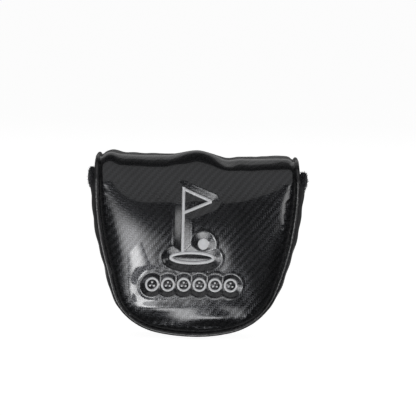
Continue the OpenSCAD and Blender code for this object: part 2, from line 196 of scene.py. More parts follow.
def circle(count):
    return np.linspace(0, 2 * math.pi, count, endpoint=False)


def resampled(points, step):
    line = Line(points)
    return line.at(np.linspace(0, line.length, max(2, int(line.length / step) + 1)))


def distance_to(points, line):
    """Distance of each of many points to the nearest point of a dense line."""
    flat = points.reshape(-1, points.shape[-1])
    nearest = [
        np.sqrt(((part[:, None, :] - line[None]) ** 2).sum(-1)).min(1)
        for part in np.array_split(flat, max(1, len(flat) // 2000))
    ]
    return np.concatenate(nearest).reshape(points.shape[:-1])


def panel_patch(outline, corner, columns, rows):
    """A grid of (x, z) points over a panel, from its bottom up. Its bottom edge reaches the distance corner
    along the right half of its outline, and its side runs from there to the outline's end."""
    across = np.linspace(-1, 1, columns)
    up = np.linspace(0, 1, rows)
    bottom = outline.at(np.abs(across) * corner) * np.stack([np.sign(across), np.ones(columns)], axis=1)
    right = outline.at(corner + up * (outline.length - corner))
    left = right * [-1, 1]
    end = outline.points[-1]
    top = np.stack([across * end[0], np.full(columns, end[1])], axis=1)
    u = (across[None, :, None] + 1) / 2
    v = up[:, None, None]
    corners = mix(mix(bottom[0], bottom[-1], u), mix(top[0], top[-1], u), v)
    return mix(bottom[None], top[None], v) + mix(left[:, None], right[:, None], u) - corners


# ---- Meshes ----

def slumped(points):
    """The points with the cover's bottom let down a little, most of all at its left corner."""
    down_everywhere, down_at_left, outwards_at_left = 0.3, 1.4, 1.5
    left = smooth_step(-points[:, 0] / 50)
    low = smooth_step((-points[:, 2] - 12) / 30)
    result = points.copy()
    result[:, 0] -= outwards_at_left * left * low
    result[:, 2] -= (down_everywhere + down_at_left * left) * low
    return result


def add_object(name, data):
    thing = bpy.data.objects.new(name, data)
    bpy.context.scene.collection.objects.link(thing)
    return thing


def new_piece(name, points, faces, material, flat=None):
    """A mesh piece from points in millimetres. flat holds each point's place on the uncut material."""
    mesh = bpy.data.meshes.new(name)
    mesh.from_pydata((slumped(np.asarray(points)) * MM).tolist(), [], faces)
    if flat is not None:
        layer = mesh.uv_layers.new(name="flat")
        corners = np.empty(len(mesh.loops), int)
        mesh.loops.foreach_get("vertex_index", corners)
        layer.data.foreach_set("uv", (np.asarray(flat) * MM)[corners].ravel())
    form = bmesh.new()
    form.from_mesh(mesh)
    bmesh.ops.recalc_face_normals(form, faces=form.faces)
    form.to_mesh(mesh)
    form.free()
    mesh.polygons.foreach_set("use_smooth", [True] * len(mesh.polygons))
    mesh.set_sharp_from_angle(angle=math.radians(55))
    mesh.materials.append(material)
    piece = add_object(name, mesh)
    return piece


def grid_normals(grid):
    """Unit normals of a grid whose rows run up and columns to the right, seen from outside."""
    along = np.gradient(grid, axis=0)
    across = np.gradient(grid, axis=1)
    normal = np.cross(across, along)
    return normal / np.maximum(np.linalg.norm(normal, axis=2, keepdims=True), 1e-9)


def blurred(grid, passes):
    """The grid with its inner points moved towards their neighbours, to lose fine relief."""
    result = grid.copy()
    for _ in range(passes):
        around = result[:-2, 1:-1] + result[2:, 1:-1] + result[1:-1, :-2] + result[1:-1, 2:]
        result[1:-1, 1:-1] = mix(result[1:-1, 1:-1], around / 4, 0.8)
    return result


def offset(grid, depth):
    """The grid moved inwards along its normals by a depth, or by one depth for each point."""
    depth = np.broadcast_to(depth, grid.shape[:2])
    return grid - grid_normals(grid) * depth[..., None]


def quads(rows, columns):
    return [
        (i * columns + j, i * columns + j + 1, (i + 1) * columns + j + 1, (i + 1) * columns + j)
        for i in range(rows - 1) for j in range(columns - 1)
    ]


def y_finder(grid, start_y):
    """A function that gives a surface's y at each of some places (x, z), seen from start_y."""
    tree = BVHTree.FromPolygons(grid.reshape(-1, 3).tolist(), quads(*grid.shape[:2]))
    towards = Vector((0, -start_y, 0)).normalized()
    return lambda places: np.array([tree.ray_cast(Vector((x, start_y, z)), towards)[0].y for x, z in places])


def resized(field, rows, columns):
    """Vectors on a grid, spread smoothly over a finer grid of the same surface."""
    row = np.linspace(0, field.shape[0] - 1, rows)
    column = np.linspace(0, field.shape[1] - 1, columns)
    i = np.minimum(row.astype(int), field.shape[0] - 2)
    j = np.minimum(column.astype(int), field.shape[1] - 2)
    down = (row - i)[:, None, None]
    over = (column - j)[None, :, None]
    upper = mix(field[i][:, j], field[i][:, j + 1], over)
    lower = mix(field[i + 1][:, j], field[i + 1][:, j + 1], over)
    return blurred(mix(upper, lower, down), 8)


def slab_faces(rows, columns):
    """Faces of a closed sheet: one grid, a second grid that faces the other way, and a rim between them."""
    count = rows * columns
    outer = quads(rows, columns)
    inner = [tuple(corner + count for corner in reversed(face)) for face in outer]
    index = np.arange(count).reshape(rows, columns)
    rim = np.concatenate([index[0], index[1:, -1], index[-1, -2::-1], index[-2:0:-1, 0]]).tolist()
    return outer + inner + [(a, a + count, b + count, b) for a, b in zip(rim, rim[1:] + rim[:1])]


def slab(name, outer, inner, material, flat=None):
    """A closed sheet between two grids of the same shape."""
    rows, columns = outer.shape[:2]
    points = np.concatenate([outer.reshape(-1, 3), inner.reshape(-1, 3)])
    if flat is not None:
        flat = np.concatenate([flat.reshape(-1, 2)] * 2)
    return new_piece(name, points, slab_faces(rows, columns), material, flat)


def rings_round(path, radii, angles):
    """Rings of points round an open line, square to it and carried along it without twist. radii holds a
    radius for each of the line's points, or for each point of each ring."""
    along = np.gradient(path, axis=0)
    along /= np.linalg.norm(along, axis=1, keepdims=True)
    side = np.empty_like(along)
    start = np.array([0.0, 1.0, 0.0]) if abs(along[0][1]) < 0.9 else np.array([1.0, 0.0, 0.0])
    for index, direction in enumerate(along):
        start = start - direction * start.dot(direction)
        start /= np.linalg.norm(start)
        side[index] = start
    other = np.cross(along, side)
    outwards = np.cos(angles)[:, None] * side[:, None] + np.sin(angles)[:, None] * other[:, None]
    return path[:, None] + radii[..., None] * outwards


def tube(name, path, radius, material, sides, shape):
    """A closed tube along a line. shape(distance, angle) is a factor on its radius."""
    line = Line(path)
    angles = circle(sides)
    distance = line.distances[:, None]
    rings = rings_round(line.points, radius * shape(distance, angles), angles)
    return tube_piece(name, rings, distance, angles * np.mean(radius), material)


def tube_piece(name, rings, along, around, material):
    """A closed tube through rings of points, with their places along and around the uncut material."""
    flat = np.stack(np.broadcast_arrays(along, around), axis=-1).reshape(-1, 2)
    return new_piece(name, rings.reshape(-1, 3), tube_faces(*rings.shape[:2]), material, flat)


def tube_faces(count, sides, first=0):
    faces = []
    for i in range(count - 1):
        for k in range(sides):
            a = first + i * sides + k
            b = first + i * sides + (k + 1) % sides
            faces.append((a, b, b + sides, a + sides))
    faces.append(tuple(first + k for k in range(sides)))
    faces.append(tuple(first + (count - 1) * sides + k for k in reversed(range(sides))))
    return faces


class Bundle:
    """Many small tubes gathered into one mesh, such as stitches or hooks."""

    def __init__(self):
        self.points = []
        self.faces = []
        self.count = 0

    def add(self, path, radius, sides=5):
        """A small tube along a short path. radius is one number, or one for each of the path's points."""
        path = np.asarray(path, float)
        radii = np.broadcast_to(radius, len(path))[:, None]
        self.faces += tube_faces(len(path), sides, self.count)
        self.points.append(rings_round(path, radii, circle(sides)).reshape(-1, 3))
        self.count += len(path) * sides

    def piece(self, name, material, slot):
        return new_piece(name, np.concatenate(self.points), self.faces, material)


# ---- Materials ----

class Nodes:
    """A node tree. Each method adds a node and returns it or its output."""

    def __init__(self, owner):
        owner.use_nodes = True
        self.tree = owner.node_tree

    def node(self, kind, inputs=None, **settings):
        node = self.tree.nodes.new("ShaderNode" + kind)
        for name, value in settings.items():
            setattr(node, name, value)
        for name, value in (inputs or {}).items():
            self.put(node, name, value)
        return node

    def put(self, node, name, value):
        if isinstance(value, bpy.types.NodeSocket):
            self.tree.links.new(value, node.inputs[name])
        else:
            node.inputs[name].default_value = value

    def ramp(self, value, low, high, to_low=0.0, to_high=1.0, **settings):
        inputs = {"Value": value, "From Min": low, "From Max": high, "To Min": to_low, "To Max": to_high}
        return self.node("MapRange", inputs, **settings).outputs[0]

    def parts(self, point):
        return self.node("SeparateXYZ", {0: point}).outputs


class Shader(Nodes):
    """A surface's material."""

    def __init__(self, name):
        self.material = bpy.data.materials.new(name)
        super().__init__(self.material)

    def set(self, **values):
        """Sets the surface's inputs: base_color, roughness, coat_weight and so on. Returns the material."""
        for name, value in values.items():
            title = name.replace("_", " ").title().replace("Ior", "IOR")
            self.put(self.tree.nodes["Principled BSDF"], title, value)
        return self.material

    def math(self, operation, a, b=0.0, c=0.0):
        return self.node("Math", {0: a, 1: b, 2: c}, operation=operation).outputs[0]

    def place(self, scale=(1, 1, 1)):
        """The point on the object, in metres."""
        source = self.node("TexCoord").outputs["Object"]
        return self.node("Mapping", {"Vector": source, "Scale": scale}).outputs[0]

    def flat(self, scale=(1, 1, 1)):
        """The point on the uncut material, in metres."""
        source = self.node("UVMap", uv_map="flat").outputs[0]
        return self.node("Mapping", {"Vector": source, "Scale": scale}).outputs[0]

    def noise(self, point, size, detail=3.0, rough=0.55):
        """Smooth noise from 0 to 1 with features of a size in millimetres."""
        inputs = {"Vector": point, "Scale": 1 / (size * MM), "Detail": detail, "Roughness": rough}
        return self.node("TexNoise", inputs).outputs["Fac"]

    def cells(self, point, size, feature="F1"):
        inputs = {"Vector": point, "Scale": 1 / (size * MM)}
        return self.node("TexVoronoi", inputs, feature=feature).outputs["Distance"]

    def colour(self, value, low, high):
        """A colour between two, by a value from 0 to 1."""
        factor, a, b = 0, 6, 7               # the mix node's sockets for colours
        node = self.node("Mix", {factor: value, a: (*low, 1), b: (*high, 1)}, data_type="RGBA")
        return node.outputs[2]

    def bump(self, height, depth, strength=1.0, under=None):
        """A normal from a height of 0 to 1, with its depth in millimetres."""
        inputs = {"Height": height, "Distance": depth * MM, "Strength": strength}
        if under is not None:
            inputs["Normal"] = under
        return self.node("Bump", inputs).outputs[0]

    def fabric(self, tone, low, high, height, depth, **values):
        """A matt surface with a colour between two by its tone, and relief of a depth in millimetres."""
        normal = self.bump(height, depth, values.pop("strength", 0.9))
        return self.set(base_color=self.colour(tone, low, high), normal=normal, **values)


def carbon_leather():
    """Twill print under a patent coat: a 2-by-2 twill of flat tows, with a fine fleck."""
    s = Shader("carbon_leather")
    tow = 1.2
    slope = 1.19                             # the twill's ribs rise at 50 degrees
    u, v, _ = s.parts(s.flat((1 / (tow * MM), 1 / (tow * slope * MM), 1)))
    step = s.math("SUBTRACT", s.math("FLOOR", u), s.math("FLOOR", v))
    upright = s.math("LESS_THAN", s.math("FLOORED_MODULO", step, 4.0), 1.5)
    sideways = s.math("SUBTRACT", 1.0, upright)
    across = s.math("MULTIPLY", sideways, s.math("PINGPONG", v, 0.5))
    across = s.math("MULTIPLY_ADD", upright, s.math("PINGPONG", u, 0.5), across)
    dome = s.math("POWER", s.math("MULTIPLY", across, 2.0), 0.5)
    rib = s.math("SINE", s.math("MULTIPLY", s.math("SUBTRACT", u, v), math.pi / 2))
    fleck = s.noise(s.flat(), 0.9, detail=4.0, rough=0.75)
    patch = s.noise(s.flat(), 22, detail=2.0)
    tone = s.math("MULTIPLY_ADD", upright, 0.22, s.math("MULTIPLY", fleck, 0.50))
    tone = s.math("MULTIPLY_ADD", patch, 0.3, tone)
    weave = s.bump(s.math("MULTIPLY_ADD", rib, 0.35, dome), 0.10, 0.55)
    return s.set(
        base_color=s.colour(tone, (0.005, 0.005, 0.006), (0.078, 0.080, 0.086)),
        metallic=0.85,
        roughness=s.ramp(fleck, 0.3, 0.75, 0.24, 0.34),
        coat_weight=1.0,
        coat_ior=1.5,
        coat_roughness=s.ramp(s.noise(s.place(), 9), 0.4, 0.7, 0.045, 0.08),
        normal=s.bump(fleck, 0.05, 0.6, under=weave),
        coat_normal=s.bump(s.noise(s.place(), 5, detail=1.0), 0.05, 0.35),
    )


def plain_leather():
    """Black coated leather with a fine pebbled grain and faint creases."""
    s = Shader("plain_leather")
    pebbles = s.cells(s.place(), 0.8, "SMOOTH_F1")
    creases = s.noise(s.place(), 6, detail=5.0, rough=0.65)
    height = s.math("MULTIPLY_ADD", creases, 0.8, s.math("MULTIPLY", pebbles, 0.5))
    return s.set(
        base_color=s.colour(s.ramp(creases, 0.35, 0.7), (0.006, 0.006, 0.007), (0.016, 0.016, 0.018)),
        roughness=s.ramp(pebbles, 0.1, 0.8, 0.26, 0.38),
        coat_weight=0.5,
        coat_roughness=0.12,
        normal=s.bump(height, 0.10, 0.6),
        coat_normal=s.bump(creases, 0.10, 0.5),
    )


def piping_leather():
    """The same leather pulled round a cord on the bias, with fine slanted creases."""
    s = Shader("piping_leather")
    along, around, _ = s.parts(s.flat())
    slanted = {0: s.math("MULTIPLY_ADD", around, 0.8, along), 1: s.math("MULTIPLY", around, 0.22)}
    folds = s.noise(s.node("CombineXYZ", slanted).outputs[0], 0.8, detail=3.0, rough=0.6)
    wear = s.noise(s.place(), 14, detail=4.0)
    return s.set(
        base_color=s.colour(s.ramp(wear, 0.35, 0.7), (0.008, 0.008, 0.009), (0.024, 0.024, 0.026)),
        roughness=s.ramp(folds, 0.35, 0.7, 0.26, 0.42),
        coat_weight=0.55,
        coat_roughness=0.10,
        normal=s.bump(folds, 0.16, 0.8),
        coat_normal=s.bump(folds, 0.12, 0.6),
    )


def foam():
    s = Shader("foam")
    pores = s.cells(s.place(), 0.7)
    return s.fabric(pores, (0.30, 0.31, 0.33), (0.56, 0.57, 0.60), pores, 0.35, strength=0.8, roughness=0.95)


def plush():
    """Short brushed pile that lies in soft patches."""
    s = Shader("plush")
    pile = s.noise(s.place((1, 1, 0.45)), 0.5, detail=4.0, rough=0.7)
    nap = s.noise(s.place(), 12, detail=3.0)
    tone = s.math("MULTIPLY_ADD", pile, 0.6, s.math("MULTIPLY", nap, 0.4))
    height = s.math("MULTIPLY_ADD", nap, 1.5, pile)
    return s.fabric(tone, (0.030, 0.031, 0.036), (0.12, 0.125, 0.14), height, 0.45, roughness=0.92,
                    sheen_weight=0.7, sheen_roughness=0.4)


def knit():
    """Rib knit: columns of small slanted stitches, slightly fuzzy."""
    s = Shader("knit")
    over, along, _ = s.parts(s.flat((1 / (0.9 * MM), 1 / (0.7 * MM), 1)))
    column = s.math("PINGPONG", over, 0.5)
    row = s.math("MULTIPLY_ADD", column, 1.2, along)
    stitch = s.math("MULTIPLY", s.math("PINGPONG", row, 0.5), 2.0)
    height = s.math("MULTIPLY", s.math("MULTIPLY", column, 2.0), stitch)
    fuzz = s.noise(s.place(), 0.3, detail=4.0, rough=0.7)
    tone = s.math("MULTIPLY_ADD", fuzz, 0.5, s.math("MULTIPLY", height, 0.5))
    fuzzy = s.math("MULTIPLY_ADD", fuzz, 0.5, height)
    return s.fabric(tone, (0.006, 0.006, 0.008), (0.040, 0.040, 0.046), fuzzy, 0.35, roughness=0.88,
                    sheen_weight=0.35, sheen_roughness=0.35)


def thread(name, low, high, gloss):
    """Lustrous embroidery thread, each strand with its own shade."""
    s = Shader(name)
    strand = s.noise(s.place(), 0.16, detail=2.0)
    shade = s.noise(s.place(), 1.8, detail=2.0)
    tone = s.math("MULTIPLY_ADD", strand, 0.5, s.math("MULTIPLY", shade, 0.5))
    roughness = s.ramp(strand, 0.3, 0.7, gloss, gloss + 0.2)
    return s.fabric(tone, low, high, strand, 0.05, strength=0.7, roughness=roughness, sheen_weight=0.25)


def woven(name, low, high, pitch):
    """Plain weave or felted cord, for the pieces inside."""
    s = Shader(name)
    x, y, z = s.parts(s.place((1 / (pitch * MM),) * 3))
    warp = s.math("SINE", s.math("MULTIPLY", s.math("ADD", x, y), math.pi))
    weft = s.math("SINE", s.math("MULTIPLY", z, math.pi))
    fibre = s.noise(s.place(), pitch / 2, detail=3.0)
    height = s.math("MULTIPLY_ADD", s.math("MULTIPLY", warp, weft), 0.4, fibre)
    return s.fabric(fibre, low, high, height, pitch * 0.3, strength=0.8, roughness=0.85, sheen_weight=0.2)


def napped(name):
    """The tangled loops of a loop patch, or the moulded base of a hook patch."""
    s = Shader(name)
    tangle = s.noise(s.place(), 0.5, detail=5.0, rough=0.75)
    low, high = (0.008, 0.008, 0.010), (0.045, 0.045, 0.052)
    return s.fabric(tangle, low, high, tangle, 0.5, roughness=0.8, sheen_weight=0.3)


CARBON = carbon_leather()
LEATHER = plain_leather()
PIPING = piping_leather()
FOAM = foam()
PLUSH = plush()
KNIT = knit()
WHITE_THREAD = thread("white_thread", (0.62, 0.63, 0.66), (0.92, 0.92, 0.93), gloss=0.32)
BLACK_THREAD = thread("black_thread", (0.010, 0.010, 0.012), (0.045, 0.045, 0.05), gloss=0.4)
ELASTIC = woven("elastic", (0.10, 0.10, 0.10), (0.26, 0.26, 0.26), 1.0)
FILLER = woven("filler", (0.60, 0.58, 0.52), (0.82, 0.80, 0.74), 0.5)
STIFFENER = woven("stiffener", (0.70, 0.70, 0.70), (0.90, 0.90, 0.90), 0.8)
NAP = napped("napped_loops")
HOOKS = napped("moulded_hooks")


# ---- The sheet: front panel, folds, top and flap ----

front_seam = seam_line(FOLD_START_Z)
FRONT_HALF_WIDTH = front_seam.points[-1][0]
FRONT_OUTLINE = both_halves(front_seam.points)


def top_lift(x):
    """How the top edge rises and sinks across the cover: a lump at the left end, and a lower right side with
    a notch beside the middle."""
    left_end = 1.2 * np.exp(-((x + 54.5) / 4.5) ** 2)
    right_side = -1.1 * smooth_step((x - 8) / 10)
    notch = -0.9 * np.exp(-((x - 20) / 5) ** 2)
    everywhere = -0.8
    return left_end + right_side + notch + everywhere


def pinch(q, x):
    """The short ridge that is pushed up in the middle of the top edge."""
    height, crest_q, length_q = 3.2, 1.05, 0.42
    width = np.where(x < 0, 13.0, 10.5)
    return height * np.exp(-(x / width) ** 2) * np.exp(-((q - crest_q) / length_q) ** 2)


def lift_share(q):
    """How much of the lift a place along the sheet takes: none on the front or the flap, all of it on top."""
    return smooth_step((q - 0.25) / 0.5) * (1 - smooth_step((q - 2.1) / 0.8))


# A place along the sheet is q: 0 to 1 over the front fold, to 2 along the top, and to 3 down the back fold.

def side_half_width(q):
    """Half the distance between the two sides' piping, which widens over the front fold in two steps."""
    fold_length = 20.9
    step = 9.0
    travelled = fold_length * np.asarray(q, float)
    share = 0.55 * smooth_step(travelled / step) + 0.45 * smooth_step(travelled / step - 1)
    return mix(FRONT_HALF_WIDTH, TOP_HALF_WIDTH, share)


def side_shift(q):
    """How far the folded sheet has slipped across, which is to the left over the top."""
    return -0.5 * smooth_step(q / 0.5) * (1 - smooth_step((q - 2.1) / 0.8))


def sheet_yz(q, level, fold):
    """The point (y, z) at q of a line that runs at the height level along the top. fold gives its y and z
    over the front fold, which it goes through from 0 to 1."""
    q = np.asarray(q, float)
    stretches = [q <= 1, q <= 2]
    fold_y, fold_z = fold(np.clip(q, 0, 1))
    top_y = mix(TOP_START_Y, TOP_END_Y, np.clip(q - 1, 0, 1))
    turn = np.clip(q - 2, 0, 1) * math.pi / 2
    radius = level - FLAP_START_Z
    y = np.select(stretches, [fold_y, top_y], TOP_END_Y + radius * np.sin(turn))
    z = np.select(stretches, [fold_z, np.full_like(q, level)], FLAP_START_Z + radius * np.cos(turn))
    return np.stack([y, z], axis=-1)


def side_yz(q):
    """The middle of the piping over the top."""
    level = TOP_Z - PIPING_R

    def fold(t):
        turn = t * math.pi / 2
        return mix(-SEAM_Y, TOP_START_Y, 1 - np.cos(turn)), mix(FOLD_START_Z, level, np.sin(turn))

    return sheet_yz(q, level, fold)


def front_profile(z):
    """The front panel's middle, as y."""
    lean = np.clip(z, 0, TOP_Z) / TOP_Z
    return TOP_START_Y - FRONT_REACH * np.sqrt(np.maximum(1 - lean ** CROWN_POWER, 0))


def middle_yz(q):
    """The outer face over the top, half way across."""
    def fold(t):
        z = mix(FOLD_START_Z, TOP_Z, np.sin(t * math.pi / 2))
        return front_profile(z), z + TOP_PUFF * smooth_step(t)

    return sheet_yz(q, TOP_Z + TOP_PUFF, fold)


def roll(edge):
    """Share of the puffed roll's height, at a distance from the piping's middle."""
    return 1 - np.exp(-np.maximum(edge - ROLL_START, 0) / ROLL_WIDTH)


def dome(edge):
    return 1 - (1 - np.minimum(edge / DOME_WIDTH, 1)) ** DOME_POWER


def puffed(edge, crown, roll_height):
    """How far a padded panel stands off its seam: a roll beside the piping, then a dome up to its crown."""
    return roll_height * roll(edge) + (crown - roll_height) * dome(edge)


def front_height(edge, z, rolled=True):
    """How far the front panel stands in front of its seam."""
    return puffed(edge, -front_profile(z) - SEAM_Y, ROLL_HEIGHT if rolled else 0)


def over_the_top(q, columns, rolled=True, inset=0.0):
    """Grid points of the sheet's outer face for rows at q."""
    width = (side_half_width(q) - inset)[:, None]
    x = np.linspace(-1, 1, columns) * width
    edge = width - np.abs(x) + inset
    fold_start = np.array(FOLD_START_Z)
    on_front = front_height(edge, fold_start, rolled) / (-front_profile(fold_start) - SEAM_Y)
    share = mix(on_front, roll(edge / TOP_ROLL), smooth_step(q)[:, None])
    yz = mix(side_yz(q)[:, None], middle_yz(q)[:, None], share[..., None])
    lift = top_lift(x) * lift_share(q)[:, None] + pinch(q[:, None], x)
    return np.stack([x + side_shift(q)[:, None], yz[..., 0], yz[..., 1] + lift], axis=-1)


def piping_over_top(q, side):
    """The middle of the piping over the top, on the left (-1) or the right (1)."""
    x = side * side_half_width(q)
    yz = side_yz(q)
    return np.stack([x + side_shift(q), yz[:, 0], yz[:, 1] + top_lift(x) * lift_share(q)], axis=1)


# ---- Embroidery: where its strokes run on the front panel, as (x, z) ----

emblem_low, emblem_high = box_mm("emblem_embroidery")
row_low, row_high = box_mm("row_embroidery")
LINE_WIDTH = 1.9
BALL_COUNT = 6
RING_WIDTH = 1.2
THREAD_RISE = 0.55
RIDGE_WIDTH = 0.95                           # of the ridge that stands round the embroidery
MIDDLE_X = (emblem_low[0] + emblem_high[0]) / 2
STICK_X = MIDDLE_X - 6
STICK_TOP = emblem_high[2]
FLAG_LENGTH = 20.0
FLAG_DROP = 17.0
GREEN_HALF = np.array([14.5, 4.2])           # half width and half height of the green
GREEN_Z = emblem_low[2] + GREEN_HALF[1]
GREEN_MIDDLE = np.array([MIDDLE_X, GREEN_Z])
BALL_R = 3.6
BALL_MIDDLE = np.array([MIDDLE_X + 7, GREEN_Z + GREEN_HALF[1] + 4.6])
ROW_BALL_R = (row_high[2] - row_low[2]) / 2
ROW_Z = (row_high[2] + row_low[2]) / 2
ROW_PITCH = (row_high[0] - row_low[0] - 2 * ROW_BALL_R) / (BALL_COUNT - 1)
ROW_X = [row_low[0] + ROW_BALL_R + i * ROW_PITCH for i in range(BALL_COUNT)]


def oval(middle, half, count=96):
    angles = np.linspace(0, 2 * math.pi, count + 1)
    return middle + np.stack([half[0] * np.cos(angles), half[1] * np.sin(angles)], axis=1)


def pennant():
    """The middle line of the pennant's outline, in from its outer edge by half a line."""
    half = LINE_WIDTH / 2
    hoist_top = [STICK_X, STICK_TOP - half * 1.15]
    tip = [STICK_X + FLAG_LENGTH - 2.4 * half, STICK_TOP - FLAG_DROP / 2]
    hoist_foot = [STICK_X, STICK_TOP - FLAG_DROP + half * 1.15]
    return np.array([hoist_top, tip, hoist_foot])


def emblem_strokes():
    stick = np.array([[STICK_X, GREEN_Z + GREEN_HALF[1] - 0.5], [STICK_X, STICK_TOP]])
    return [stick, pennant(), oval(GREEN_MIDDLE, GREEN_HALF - LINE_WIDTH / 2)]


def row_strokes():
    radius = ROW_BALL_R - RING_WIDTH / 2
    return [oval(np.array([x, ROW_Z]), (radius, radius), 48) for x in ROW_X]


def relief(points):
    """How the panel is drawn in at the embroidery: sunk along the threads, with a ridge a few millimetres
    outside them."""
    def drawn_in(distance, reach, sink, ridge):
        inside = sink * (1 - np.clip(distance / reach, 0, 1)) ** 1.5
        return ridge * np.exp(-((distance - reach) / RIDGE_WIDTH) ** 2) - inside

    emblem = np.concatenate([resampled(s, 0.35) for s in emblem_strokes()])
    to_emblem = np.maximum(distance_to(points, emblem) - LINE_WIDTH / 2, 0)
    to_ball = np.maximum(np.linalg.norm(points - BALL_MIDDLE, axis=-1) - BALL_R, 0)
    to_row = np.maximum(distance_to(points, np.concatenate(row_strokes())) - RING_WIDTH / 2, 0)
    around_emblem = drawn_in(np.minimum(to_emblem, to_ball), reach=4.6, sink=0.9, ridge=0.24)
    return around_emblem + drawn_in(to_row, reach=3.4, sink=1.1, ridge=0.26)


# Dents and pushed-out places of the front panel: middle x, z, half width, half height and depth outwards.
DENTS = [
    (-30, -47, 16, 3.5, -0.9),
    (-22, -38, 13, 3.0, 0.7),
    (12, -44, 11, 3.6, 1.0),
    (14, -50, 15, 2.6, -0.8),
    (38, -46, 9, 5, 0.6),
    (-40, 6, 13, 22, 0.7),
    (40, 18, 12, 16, -0.6),
    (56, 10, 3.5, 15, 0.6),
    (-52, -22, 4, 9, 0.4),
]


def dents(points):
    total = np.zeros(points.shape[:-1])
    for x, z, half_width, half_height, depth in DENTS:
        away = ((points[..., 0] - x) / half_width) ** 2 + ((points[..., 1] - z) / half_height) ** 2
        total += depth * np.exp(-away)
    return total


def edge_puckers(points, edge):
    """Small gathers where the panel is sewn to the piping."""
    height, from_seam, reach = 0.12, 4, 2.6
    angle = np.arctan2(points[..., 1] - 5, points[..., 0])
    wave = np.sin(angle * 61 + 2 * np.sin(angle * 7)) + 0.6 * np.sin(angle * 103 + 1.3)
    return height * wave * np.exp(-((edge - from_seam) / reach) ** 2)


def on_front(points, detailed=True):
    """Places on the front panel's outer face, over (x, z) points."""
    edge = distance_to(points, FRONT_OUTLINE)
    height = front_height(edge, points[..., 1], rolled=detailed)
    if detailed:
        height += (relief(points) + dents(points)) * smooth_step(edge / 6) + edge_puckers(points, edge)
    return np.stack([points[..., 0], -SEAM_Y - height, points[..., 1]], axis=-1)


def front_patch(columns, rows, inset=0.0, detailed=True):
    """Grid points of the front panel's outer face up to the front fold."""
    return on_front(panel_patch(seam_line(FOLD_START_Z, inset), CORNER, columns, rows), detailed)


def flap_patch(columns, rows, inset=0.0, rolled=True):
    """Grid points of the flap's outer face, from the back fold down to its edge."""
    points = panel_patch(flap_line(inset), FLAP_CORNER, columns, rows)[::-1]
    x, z = points[..., 0], points[..., 1]
    edge = distance_to(points, both_halves(flap_line().points))
    share = roll(edge / TOP_ROLL) if rolled else smooth_step(edge / 8)
    ripple = 0.25 * np.sin(x / 9 + 1) * np.sin(z / 13) * smooth_step(edge / 8)
    return np.stack([x, mix(FLAP_Y - PIPING_R, FLAP_Y + TOP_PUFF, share) + ripple, z], axis=-1)


MIDDLE_Q = 1.5                               # where the front's pieces end and the flap's begin
FLAT_TO_FLAP = 76                            # the way along the uncut sheet to the flap's pieces
INSIDE_INSET = 2.2                           # from a seam in to the edge of the padding and the lining


def front_sheet(columns, rows, fold_rows, inset=0.0, detailed=True):
    """The front panel, the fold and the first half of the top as one grid."""
    q = np.linspace(0, MIDDLE_Q, fold_rows + 1)[1:]
    return np.concatenate([
        front_patch(columns, rows, inset, detailed),
        over_the_top(q, columns, detailed, inset),
    ])


def flap_sheet(columns, rows, fold_rows, inset=0.0, detailed=True):
    """The second half of the top, the back fold and the flap as one grid."""
    q = np.linspace(MIDDLE_Q, 3, fold_rows + 1)
    return np.concatenate([
        over_the_top(q, columns, detailed, inset),
        flap_patch(columns, rows, inset, detailed)[1:],
    ])


def swell(grid, held, cap):
    """How a sheet of leather moves when its padding pushes it outwards and it is held at some points only. It
    is simulated as cloth ten times as large as it is, and no point moves further than about cap."""
    scale = 10 * MM
    frames = 20
    mesh = bpy.data.meshes.new("swelling")
    mesh.from_pydata((grid.reshape(-1, 3) * scale).tolist(), [], quads(*grid.shape[:2]))
    piece = add_object("swelling", mesh)
    group = piece.vertex_groups.new(name="held")
    group.add(np.flatnonzero(held).tolist(), 1.0, "REPLACE")
    cloth = piece.modifiers.new("cloth", "CLOTH").settings
    cloth.quality = 6
    cloth.mass = 0.02
    cloth.bending_stiffness = 0.4
    cloth.vertex_group_mass = "held"
    cloth.use_pressure = True
    cloth.uniform_pressure_force = 4
    cloth.shrink_min = -0.03                 # the leather is cut a little too large
    cloth.effector_weights.gravity = 0
    for step in range(frames):
        bpy.context.scene.frame_set(step + 1)
    simulated = piece.evaluated_get(bpy.context.evaluated_depsgraph_get()).data
    places = np.empty(grid.size)
    simulated.vertices.foreach_get("co", places)
    bpy.context.scene.frame_set(1)
    bpy.data.objects.remove(piece)
    bpy.data.meshes.remove(mesh)
    move = places.reshape(grid.shape) / scale - grid
    return move * cap / np.sqrt(cap ** 2 + (move ** 2).sum(-1, keepdims=True))


def border(grid):
    """Which points of a grid are in its two outer rings, where it is sewn down."""
    held = np.ones(grid.shape[:2], bool)
    held[2:-2, 2:-2] = False
    return held


def swollen(grid, every, cap):
    """A panel's grid, swollen by a simulation that takes one in every so many of its rows and columns."""
    coarse = grid[::every, ::every]
    return grid + resized(swell(coarse, border(coarse), cap), *grid.shape[:2])


SWELL_COLUMNS = 66                           # of the coarse front sheet that is simulated
SWELL_ROWS = 48
SWELL_FOLD_ROWS = 18


def front_swell():
    """The swelling of the front panel and of the fold, held at the seam and at the embroidery."""
    grid = front_sheet(SWELL_COLUMNS, SWELL_ROWS, SWELL_FOLD_ROWS)
    strokes = emblem_strokes() + row_strokes() + [BALL_MIDDLE[None]]
    threads = np.concatenate([resampled(stroke, 0.5) for stroke in strokes])
    to_threads = distance_to(grid[:SWELL_ROWS][..., [0, 2]], threads)
    held = border(grid)
    held[:SWELL_ROWS] |= to_threads < LINE_WIDTH * 0.7
    move = swell(grid, held, cap=1.0)
    move[:SWELL_ROWS] *= smooth_step(to_threads / 8)[..., None]
    move = blurred(move, 4)
    return move[:SWELL_ROWS], move[SWELL_ROWS - 1:]


def swollen_front(columns, rows):
    return front_patch(columns, rows) + resized(FRONT_SWELL, rows, columns)


